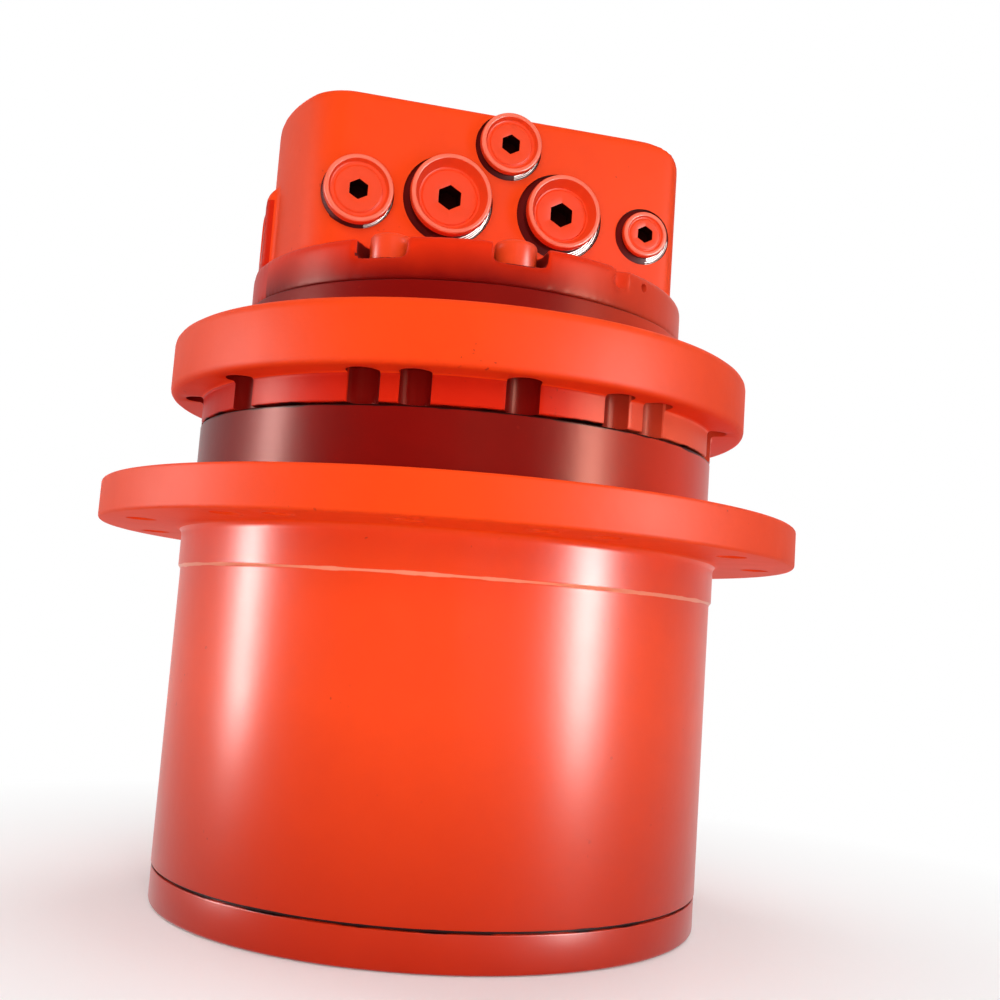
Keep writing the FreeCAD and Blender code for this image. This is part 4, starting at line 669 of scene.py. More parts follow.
# Colour of the painted highlight line along the register's lower chamfer.
EDGE_LIGHT: Colour = (0.95, 0.28, 0.16)
WARM: Colour = (1.0, 0.42, 0.28)


class Band(NamedTuple):
    """A level line on a painted part: its height, its half width and its colour."""

    level: float
    reach: float
    colour: Colour


class Coat(NamedTuple):
    """A material in the making: its wiring, the inputs of its Principled shader and its colour cloud."""

    wire: Wiring
    shader: Sockets
    cloud: Sockets


def start_material(name: str) -> Tuple[bpy.types.Material, Wiring, bpy.types.Node]:
    """Start a material.

    Args:
        name: The material's name.

    Returns:
        The material, its wiring and its Principled shader.
    """
    material = bpy.data.materials.new(name)
    material.use_nodes = True
    return material, Wiring(material.node_tree), material.node_tree.nodes["Principled BSDF"]


@dataclass(frozen=True)
class Finish:
    """What all finishes share: a name, two colours that mingle in patches, and a roughness."""

    name: str
    colour: Colour
    darker: Colour
    roughness: float
    patches: ClassVar[float] = 14.0

    def build(self, groups: ShaderGroups) -> bpy.types.Material:
        """Make the material.

        Args:
            groups: The shared shader groups.

        Returns:
            The finished material.
        """
        material, wire, shader = start_material(self.name)
        cloud = wire.group(groups.cloud, Colour=rgba(self.colour), Darker=rgba(self.darker),
                           Patches=self.patches)
        self.cover(Coat(wire, shader.inputs, cloud), groups)
        return material

    def cover(self, coat: Coat, groups: ShaderGroups) -> None:
        """Wire what this kind of finish has of its own."""
        raise NotImplementedError


@dataclass(frozen=True)
class Paint(Finish):
    """Sprayed paint on a casting or a turned part."""

    skin: float
    cast_share: float
    bands: Tuple[Band, ...] = ()
    # The fade and its colour darken the paint towards the bottom as painted shade; the side fade and its
    # colour lighten one side as painted light.
    fade: Tuple[float, float] = (0.0, 0.0)
    shade_colour: Colour = (0.2, 0.004, 0.003)
    side: Tuple[float, float] = (0.0, 0.0)
    lit_colour: Colour = (0.7, 0.05, 0.01)
    specks: float = 0.6
    gloss: float = 0.2
    tint: Colour = (1.0, 1.0, 1.0)

    def cover(self, coat: Coat, groups: ShaderGroups) -> None:
        """Wire the skin, the painted shade and painted light that fade to another colour, the chips, and the
        dark seam lines and painted highlight lines.

        Args:
            coat: The material in the making.
            groups: The shared shader groups.
        """
        wire, shader = coat.wire, coat.shader
        skin = wire.group(groups.skin, Height=self.skin, Share=self.cast_share)
        colour = coat.cloud["Colour"]
        # Painted shade low down, then painted light on one side.
        for limits, tree, other in ((self.fade, groups.height_fade, self.shade_colour),
                                    (self.side, groups.side_fade, self.lit_colour)):
            if limits[0] != limits[1]:
                fade = wire.group(tree, Full=limits[0], Empty=limits[1])
                colour = wire.mix(fade["Mask"], colour, rgba(other))
        specks = wire.group(groups.specks, Share=self.specks)
        colour = wire.mix(specks["Mask"], colour, rgba(SPECK))
        for band in self.bands:
            seam = wire.group(groups.seam_dirt, Level=band.level, Reach=band.reach)
            colour = wire.mix(seam["Mask"], colour, rgba(band.colour))
        wire.link(colour, shader["Base Color"])
        wire.link(wire.spread(coat.cloud["Mask"], 0.0, 1.0, self.roughness, self.roughness + 0.08),
                  shader["Roughness"])
        wire.link(skin["Normal"], shader["Normal"])
        shader["Specular IOR Level"].default_value = self.gloss
        shader["Specular Tint"].default_value = rgba(self.tint)


@dataclass(frozen=True)
class Metal(Finish):
    """Bare metal with turning marks and a film of oil."""

    metallic: float = 1.0
    patches: ClassVar[float] = 30.0

    def cover(self, coat: Coat, groups: ShaderGroups) -> None:
        """Wire the turning marks.

        Args:
            coat: The material in the making.
            groups: The shared shader groups.
        """
        marks = coat.wire.group(groups.turning_marks)
        polish = coat.wire.spread(marks["Mask"], 0.3, 0.7, self.roughness - 0.06, self.roughness + 0.06)
        coat.wire.link(coat.cloud["Colour"], coat.shader["Base Color"])
        coat.wire.link(polish, coat.shader["Roughness"])
        coat.wire.link(marks["Normal"], coat.shader["Normal"])
        coat.shader["Metallic"].default_value = self.metallic


@dataclass(frozen=True)
class Soft(Finish):
    """Rubber, lining or another dull stuff with a fine grain."""

    grain: float = 0.00004
    patches: ClassVar[float] = 60.0

    def cover(self, coat: Coat, groups: ShaderGroups) -> None:
        """Wire the grain.

        Args:
            coat: The material in the making.
            groups: The shared shader groups.
        """
        skin = coat.wire.group(groups.skin, Waves=900.0, Height=self.grain)
        coat.wire.link(coat.cloud["Colour"], coat.shader["Base Color"])
        coat.wire.link(skin["Normal"], coat.shader["Normal"])
        coat.shader["Roughness"].default_value = self.roughness


INNER_FINISHES = {
    "gear_steel": Metal("gear_steel", (0.34, 0.34, 0.36), (0.22, 0.22, 0.24), 0.32),
    "machined_steel": Metal("machined_steel", (0.46, 0.46, 0.48), (0.34, 0.34, 0.36), 0.28),
    "bearing_steel": Metal("bearing_steel", (0.62, 0.62, 0.64), (0.5, 0.5, 0.52), 0.16),
    "bronze": Metal("bronze", (0.56, 0.33, 0.12), (0.40, 0.22, 0.08), 0.30),
    "cast_iron": Metal("oiled_cast_iron", (0.10, 0.10, 0.11), (0.06, 0.06, 0.07), 0.5, 0.8),
    "seal_rubber": Soft("seal_rubber", (0.012, 0.012, 0.012), (0.02, 0.02, 0.02), 0.62),
    "spring_steel": Metal("spring_steel", (0.20, 0.20, 0.22), (0.12, 0.12, 0.13), 0.36),
    "brake_lining": Soft("brake_lining", (0.05, 0.04, 0.03), (0.03, 0.025, 0.02), 0.85),
}


class Finishes:
    """Every finish of the drive, built once."""

    register_highlight_line: ClassVar[float] = 145.9 * MM
    drum_shade_fade: ClassVar[Tuple[float, float]] = (0.0, 95.0 * MM)

    def __init__(self) -> None:
        """Build the materials, with their seam lines at the heights of the solids."""
        groups = ShaderGroups()
        parting = Band(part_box("hub_drum")[0].z + 0.6 * MM, 0.0008, SEAM_DARK)
        # A painted highlight line along the register's lower chamfer.
        register_highlight = Band(self.register_highlight_line, 0.0008, EDGE_LIGHT)
        gap = Band(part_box("hub_drum")[1].z, 0.0012, SEAM_DARK)
        joint = Band(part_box("motor_housing")[1].z, 0.0003, SEAM_DARK)
        self.cast_paint = Paint(
            "orange_cast_paint", ORANGE, ORANGE_DARKER, 0.52, 0.00009, 0.9, gloss=0.055).build(groups)
        # The drum and cover paint darkens towards the bottom as painted shade, and carries the register's
        # painted highlight line.
        self.drum_paint = Paint(
            "orange_drum_paint", ORANGE, ORANGE_DARKER, 0.30, 0.00003, 0.25, (parting, register_highlight),
            fade=self.drum_shade_fade, shade_colour=(0.44, 0.016, 0.001), gloss=0.14).build(groups)
        # The neck's thin dark paint turns lighter towards its right side, as painted light.
        self.neck_paint = Paint(
            "thin_neck_paint", THIN_PAINT_AND_SHADE_RED, THIN_DARKER, 0.30, 0.00003, 0.2, (gap,),
            side=(78 * MM, 22 * MM), lit_colour=(0.62, 0.040, 0.014),
            specks=0.3, gloss=0.08, tint=WARM).build(groups)
        # Pad paint: darker than the casting as painted shade, on the pads under the frame flange and low on
        # the ear, and lighter towards the right as painted light.
        self.pad_paint = Paint(
            "shaded_pad_paint", (0.62, 0.018, 0.004), (0.5, 0.012, 0.004), 0.36, 0.00006, 0.6, (gap,),
            side=(75 * MM, 15 * MM), lit_colour=(0.88, 0.13, 0.06), gloss=0.05, tint=WARM).build(groups)
        # Thin dark pilot paint, which is also painted shade: it darkens the block's foot towards the joint
        # and fills the bolt notches, and lightens towards the right as painted light.
        self.pilot_paint_and_shade = Paint(
            "thin_pilot_paint_and_shade", (0.70, 0.026, 0.004), (0.6, 0.02, 0.004), 0.36, 0.00005, 0.4, (joint,),
            (joint.level + 1 * MM, joint.level + 15 * MM), THIN_PAINT_AND_SHADE_RED,
            side=(80 * MM, 20 * MM), lit_colour=(0.68, 0.060, 0.022), gloss=0.06, tint=WARM).build(groups)
        # Near-black red painted as shade in the screw pockets, the recesses round the plugs, under the plug
        # heads and on the seal washers.
        self.hollow_shade_paint = Paint(
            "hollow_shade_paint", (0.12, 0.004, 0.003), (0.06, 0.003, 0.003), 0.5, 0.00003, 0.4,
            specks=0.0, gloss=0.08).build(groups)
        self.plug_paint = Paint(
            "orange_plug_paint", (0.82, 0.058, 0.012), (0.74, 0.05, 0.01), 0.36, 0.00003, 0.1,
            specks=0.0, gloss=0.10).build(groups)
        # Light orange on the plugs' outer rims as a painted highlight.
        self.rim_highlight_paint = Paint(
            "painted_rim_highlight", (0.90, 0.16, 0.09), (0.86, 0.11, 0.05), 0.30, 0.00003, 0.1,
            specks=0.0).build(groups)
        self.socket_dark = Paint(
            "socket_shadow_paint", (0.010, 0.001, 0.001), (0.016, 0.002, 0.002), 0.8, 0.00003, 0.2,
            specks=0.0, gloss=0.0).build(groups)
        # Bright steel on the lower right of the washers' ribs, as a painted glint.
        self.washer_glint_metal = Metal(
            "washer_glint_steel", (0.62, 0.52, 0.49), (0.34, 0.20, 0.17), 0.5, 0.3).build(groups)
        self.slots = {slot: finish.build(groups) for slot, finish in INNER_FINISHES.items()}
        self.slots[PAINT_SLOT] = self.cast_paint


def dress(piece: Piece, *materials: bpy.types.Material) -> None:
    """Give a piece its materials, the first one all over.

    Args:
        piece: The object.
        materials: Its materials, in order.
    """
    piece.data.materials.clear()
    for material in materials:
        piece.data.materials.append(material)
    for face in piece.data.polygons:
        face.material_index = 0


def dress_where(piece: Piece, index: int, test: Callable[[Face], bool]) -> None:
    """Give the faces that pass a test another of the piece's materials.

    Args:
        piece: The object.
        index: Which of its materials they get.
        test: Says it for each face.
    """
    for face in piece.data.polygons:
        if test(face):
            face.material_index = index


# Sub-assemblies

class HoleRing(NamedTuple):
    """A ring of bolt holes, with a dowel hole on each side of the first one."""

    circle: float
    count: int
    first: float
    bolt_radius: float
    dowel_radius: float
    dowel_angle: float = math.radians(20)

    def drill(self, piece: Piece, low: float, high: float, flare: float = 0.0) -> None:
        """Drill the holes through a piece.

        Args:
            piece: The object.
            low: The height where each drill starts.
            high: The height where it ends.
            flare: How much wider and how long its two ends are.
        """
        spots = [(spot, self.bolt_radius) for spot in ring_spots(self.circle, self.count, self.first)]
        for side in (-1, 1):
            spots.append((on_circle(self.circle, self.first + side * self.dowel_angle), self.dowel_radius))
        posts = [round_post("drill", spot, radius, low, high, flare) for spot, radius in spots]
        combine(piece, joined("drills", posts), "DIFFERENCE")


@dataclass
class TurningDrum:
    """The hub casting that the sprocket bolts to: barrel, register, sprocket flange and neck."""

    finishes: Finishes
    barrel_radius: float = 124.0 * MM
    register_radius: float = 125.0 * MM
    register_bottom: float = 145.2 * MM
    register_chamfer: float = 1.3 * MM
    flange_bottom: float = 163.9 * MM
    flange_top: float = 181.3 * MM
    flange_rounding: float = 1.6 * MM
    root_rounding: float = 3.4 * MM
    neck_radius: float = 121.2 * MM
    groove_depth: float = 1.5 * MM
    groove_height: float = 1.2 * MM
    bore_radius: float = 105.0 * MM
    gear_bore_radius: float = 110.0 * MM
    gear_bore_top: float = 96.0 * MM
    seal_bore_radius: float = 108.0 * MM
    seal_bore_floor: float = 193.4 * MM
    hole_chamfer: float = 0.7 * MM
    holes: HoleRing = HoleRing(145.0 * MM, 12, PORT_SIDE + math.radians(-18), 6.0 * MM, 5.5 * MM)

    def build(self) -> None:
        """Make the drum and dress it."""
        low, high = (corner.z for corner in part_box("hub_drum"))
        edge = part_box("hub_drum")[1].x
        drum = turned("turning_drum", [
            Corner(self.gear_bore_radius, low),
            Corner(self.barrel_radius - self.groove_depth, low, 0.3 * MM),
            Corner(self.barrel_radius - self.groove_depth, low + self.groove_height),
            Corner(self.barrel_radius, low + self.groove_height, 0.5 * MM),
            Corner(self.barrel_radius, self.register_bottom, 0.4 * MM),
            Corner(self.register_radius, self.register_bottom + self.register_chamfer, 0.4 * MM),
            Corner(self.register_radius, self.flange_bottom, self.root_rounding),
            Corner(edge, self.flange_bottom, self.flange_rounding),
            Corner(edge, self.flange_top, self.flange_rounding),
            Corner(self.neck_radius, self.flange_top, self.root_rounding),
            Corner(self.neck_radius, high, 0.8 * MM),
            Corner(self.seal_bore_radius, high, 0.5 * MM),
            Corner(self.seal_bore_radius, self.seal_bore_floor),
            Corner(self.bore_radius, self.seal_bore_floor),
            Corner(self.bore_radius, self.gear_bore_top),
            Corner(self.gear_bore_radius, self.gear_bore_top),
        ], steps=256)
        self.holes.drill(drum, self.flange_bottom - self.hole_chamfer, self.flange_top + self.hole_chamfer,
                         2 * self.hole_chamfer)
        shade(drum)
        dress(drum, self.finishes.drum_paint, self.finishes.neck_paint, self.finishes.cast_paint)
        dress_where(drum, 1, self._is_neck)
        dress_where(drum, 2, lambda face: off_axis(face) > self.register_radius + MM)
        settle(drum, "hub", "hub_drum")

    def _is_neck(self, face: Face) -> bool:
        """Tell whether a face belongs to the neck above the flange."""
        above = face.center.z > self.flange_top + 1.2 * self.root_rounding
        return above and off_axis(face) > self.bore_radius


@dataclass
class EndCover:
    """The cover that closes the drum, with its three plugs and the seats of its screws."""

    finishes: Finishes
    rim_height: float = 15.0 * MM
    spigot_height: float = 21.0 * MM
    rim_rounding: float = 1.5 * MM
    recess_radius: float = 50.0 * MM
    recess_depth: float = 1.5 * MM
    spigot_radius: float = 109.95 * MM
    spigot_bore: float = 94.95 * MM
    screw_circle: float = 115.0 * MM
    screw_count: int = 12
    seat_radius: float = 6.7 * MM
    seat_depth: float = 8.8 * MM
    plug_circle: float = 70.0 * MM
    plug_count: int = 3
    plug_radius: float = 12.0 * MM
    plug_clearance: float = 0.05 * MM
    plug_sink: float = 1.0 * MM
    plug_key: float = 10.0 * MM
    pad_radius: float = 14.05 * MM
    pad_seat: float = 13.0 * MM
    first_screw: float = PORT_SIDE + math.radians(-18)

    def build(self) -> None:
        """Make the cover and its plugs."""
        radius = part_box("end_cover")[1].x
        plug_spots = ring_spots(self.plug_circle, self.plug_count, self.first_screw)
        cover = turned("end_cover_plate", [
            Corner(0.0, self.recess_depth),
            Corner(self.recess_radius, self.recess_depth, 0.8 * MM),
            Corner(self.recess_radius + self.recess_depth, 0.0, 0.6 * MM),
            Corner(radius, 0.0, self.rim_rounding),
            Corner(radius, self.rim_height, 0.5 * MM),
            Corner(self.spigot_radius, self.rim_height),
            Corner(self.spigot_radius, self.spigot_height, 0.5 * MM),
            Corner(self.spigot_bore, self.spigot_height, 0.5 * MM),
            Corner(self.spigot_bore, self.rim_height),
            Corner(self.pad_radius, self.rim_height),
            Corner(self.pad_radius, self.pad_seat),
            Corner(0.0, self.pad_seat),
        ], steps=256)
        seats = [round_post("seat", spot, self.seat_radius, -self.seat_depth, self.seat_depth)
                 for spot in ring_spots(self.screw_circle, self.screw_count, self.first_screw)]
        holes = [round_post("hole", spot, self.plug_radius + self.plug_clearance, -MM, self.rim_height + MM)
                 for spot in plug_spots]
        combine(cover, joined("cover_cutters", seats + holes), "DIFFERENCE")
        shade(cover)
        dress(cover, self.finishes.drum_paint)
        settle(cover, "hub", "end_cover")
        repeat(self._plug(), "cover_plug", "hub", "cover_plugs",
               [Matrix.Translation((*spot, 0)) for spot in plug_spots])

    def _plug(self) -> Piece:
        """Model a flush plug, with a hexagon socket that opens downwards.

        Returns:
            The plug.
        """
        plug = turned("cover_plug_model", [
            Corner(0.0, self.plug_sink),
            Corner(self.plug_radius, self.plug_sink, 0.8 * MM),
            Corner(self.plug_radius, self.rim_height, 0.4 * MM),
            Corner(0.0, self.rim_height),
        ], steps=64)
        cut_socket(plug, self.plug_key, -MM, self.plug_sink + self.plug_key / 2)
        soften(plug, 0.25 * MM)
        dress(plug, self.finishes.plug_paint)
        return plug


class ScrewSize(NamedTuple):
    """A cap screw: its head's radius and height, its shank's radius and length, and its socket's width."""

    radius: float
    head: float
    shank_radius: float
    shank: float
    key: float


@dataclass
class CapScrews:
    """Socket head cap screws: those of the port block and those of the end cover."""

    finishes: Finishes
    knurls: int = 36
    knurl_depth: float = 0.05 * MM
    crown: float = 0.22
    block_turn: float = math.radians(17)
    cover_turn: float = math.radians(23)
    block_size: ScrewSize = ScrewSize(9.0 * MM, 0.0, 6.0 * MM, 34.0 * MM, 10.0 * MM)
    cover_size: ScrewSize = ScrewSize(6.5 * MM, 8.0 * MM, 4.0 * MM, 25.8 * MM, 6.0 * MM)

    def build(self) -> None:
        """Put the screws into the port block and into the cover, each turned a little further."""
        seat, top = PortBlock.seat_height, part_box("block_screws")[1].z
        moves = [Matrix.Translation((*on_circle(PortBlock.screw_circle, angle), seat))
                 @ Matrix.Rotation(self.block_turn * index, 4, "Z")
                 for index, angle in enumerate(PortBlock.screw_angles())]
        model = self._model("block_screw_model", self.block_size._replace(head=top - seat))
        repeat(model, "block_screw", "housing", "block_screws", moves)
        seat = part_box("cover_screws")[0].z + self.cover_size.head
        spots = ring_spots(EndCover.screw_circle, EndCover.screw_count, EndCover.first_screw)
        moves = [Matrix.Translation((*spot, seat)) @ Matrix.Rotation(math.pi, 4, "X")
                 @ Matrix.Rotation(self.cover_turn * index, 4, "Z") for index, spot in enumerate(spots)]
        repeat(self._model("cover_screw_model", self.cover_size), "cover_screw", "hub", "cover_screws", moves)

    def _model(self, name: str, size: ScrewSize) -> Piece:
        """Model one screw with its seat at height zero and its shank below.

        Args:
            name: The model's name.
            size: The screw's sizes.

        Returns:
            The screw.
        """
        start_clean()
        bpy.ops.mesh.primitive_cylinder_add(vertices=2 * self.knurls, radius=size.radius, depth=size.head,
                                            location=(0, 0, size.head / 2))
        screw = newest(name)
        with editing(screw):
            select_where(screw, "edges", self._is_knurl)
            bpy.ops.transform.resize(value=((size.radius - self.knurl_depth) / size.radius,) * 2 + (1,))
            select_where(screw, "faces", lambda face: face.normal.z > 0.9)
            bpy.ops.mesh.bevel(offset=self.crown * size.radius, segments=5, affect="EDGES")
            select_where(screw, "faces", lambda face: face.normal.z < -0.9)
            bpy.ops.mesh.inset(thickness=size.radius - size.shank_radius)
            extrude(0, 0, -size.shank)
        cut_socket(screw, size.key, size.head / 2, size.head + MM)
        soften(screw, 0.2 * MM)
        dress(screw, self.finishes.plug_paint, self.finishes.socket_dark)
        dress_where(screw, 1, lambda face: size.head / 2 - 0.1 * MM < face.center.z < size.head - 0.3 * MM
                    and off_axis(face) < 0.62 * size.key)
        return screw

    def _is_knurl(self, edge: bmesh.types.BMEdge) -> bool:
        """Tell whether an upright edge of the head is every second one round it.

        Args:
            edge: The edge.

        Returns:
            Whether it is.
        """
        first, second = (vert.co for vert in edge.verts)
        step = round(math.atan2(first.y, first.x) / FULL_TURN * 2 * self.knurls)
        return abs(first.z - second.z) > 0.5 * MM and step % 2 == 0


@dataclass
class MotorHousing:
    """The fixed casting: spindle, ring of pads, frame flange and pilot."""

    finishes: Finishes
    pad_radius: float = 121.2 * MM
    bottom: float = 211.6 * MM
    flange_bottom: float = 223.6 * MM
    flange_top: float = 250.4 * MM
    lower_chamfer: float = 3.0 * MM
    upper_rounding: float = 4.5 * MM
    pilot_radius: float = 105.0 * MM
    pad_rounding: float = 0.9 * MM
    spindle_radius: float = 75.0 * MM
    spindle_shoulder: float = 166.0 * MM
    seal_neck: float = 88.0 * MM
    seal_roof: float = 220.6 * MM
    seal_bore: float = 108.0 * MM
    motor_bore: float = 64.0 * MM
    motor_floor: float = 200.0 * MM
    swash_bore: float = 58.0 * MM
    floor_top: float = 127.0 * MM
    bearing_bore: float = 31.0 * MM
    bearing_floor: float = 113.0 * MM
    shaft_bore: float = 26.0 * MM
    holes: HoleRing = HoleRing(122.0 * MM, 12, PORT_SIDE, 7.0 * MM, 6.5 * MM)

    def build(self) -> None:
        """Make the housing and dress it."""
        low, high = (corner.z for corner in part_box("motor_housing"))
        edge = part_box("motor_housing")[1].x
        housing = turned("motor_housing_casting", [
            Corner(self.shaft_bore, low),
            Corner(self.spindle_radius, low, 1.0 * MM),
            Corner(self.spindle_radius, self.spindle_shoulder),
            Corner(self.seal_neck, self.spindle_shoulder, 0.8 * MM),
            Corner(self.seal_neck, self.seal_roof, 1.5 * MM),
            Corner(self.seal_bore, self.seal_roof, 1.5 * MM),
            Corner(self.seal_bore, self.bottom, 0.5 * MM),
            Corner(self.pad_radius, self.bottom, self.pad_rounding),
            Corner(self.pad_radius, self.flange_bottom, 1.6 * MM),
            Corner(edge, self.flange_bottom, self.lower_chamfer),
            Corner(edge, self.flange_top, self.upper_rounding),
            Corner(self.pilot_radius, self.flange_top, 1.0 * MM),
            Corner(self.pilot_radius, high, 0.6 * MM),
            Corner(self.motor_bore, high, 0.8 * MM),
            Corner(self.motor_bore, self.motor_floor),
            Corner(self.swash_bore, self.motor_floor),
            Corner(self.swash_bore, self.floor_top),
            Corner(self.bearing_bore, self.floor_top, 0.8 * MM),
            Corner(self.bearing_bore, self.bearing_floor),
            Corner(self.shaft_bore, self.bearing_floor),
        ], steps=256)
        self.holes.drill(housing, self.bottom - 5 * MM, self.flange_top + 0.8 * MM)
        soften(housing, 0.45 * MM, angle=50.0)
        dress(housing, self.finishes.cast_paint, self.finishes.pilot_paint_and_shade, self.finishes.pad_paint)
        dress_where(housing, 1, self._is_pilot)
        # The pads take the darker pad paint as painted shade under the frame flange.
        dress_where(housing, 2, self._is_pad)
        # The bolt notches take the pilot's dark paint as painted shade.
        dress_where(housing, 1, self._is_notch)
        settle(housing, "housing", "motor_housing")

    def _is_pilot(self, face: Face) -> bool:
        """Tell whether a face belongs to the pilot or to the machined spindle inside.

        Args:
            face: The face.

        Returns:
            Whether it does.
        """
        above = face.center.z > self.flange_top + 0.5 * MM
        below = face.center.z < self.bottom - MM
        return above or below or off_axis(face) < self.seal_bore - MM

    def _is_pad(self, face: Face) -> bool:
        """Tell whether a face belongs to the ring of pads."""
        return (self.bottom - MM < face.center.z < self.flange_bottom - 0.4 * MM
                and off_axis(face) > self.seal_bore + 2 * MM)

    def _is_notch(self, face: Face) -> bool:
        """Tell whether a face lies in a bolt hole, where it runs down through the ring of pads too.

        Args:
            face: The face.

        Returns:
            Whether it does.
        """
        level, radius = face.center.z, off_axis(face)
        inside = abs(radius - self.holes.circle) < self.holes.bolt_radius + 0.5 * MM
        between = self.bottom + 0.4 * MM < level < self.flange_top - 0.3 * MM
        on_pad = abs(radius - self.pad_radius) < 0.3 * MM and level < self.flange_bottom
        return inside and between and not on_pad and abs(face.normal.z) < 0.5


class SideHole(NamedTuple):
    """A level blind hole: its angle from the port side, its height over the joint, its radius and depth."""

    angle: float
    height: float
    radius: float
    depth: float


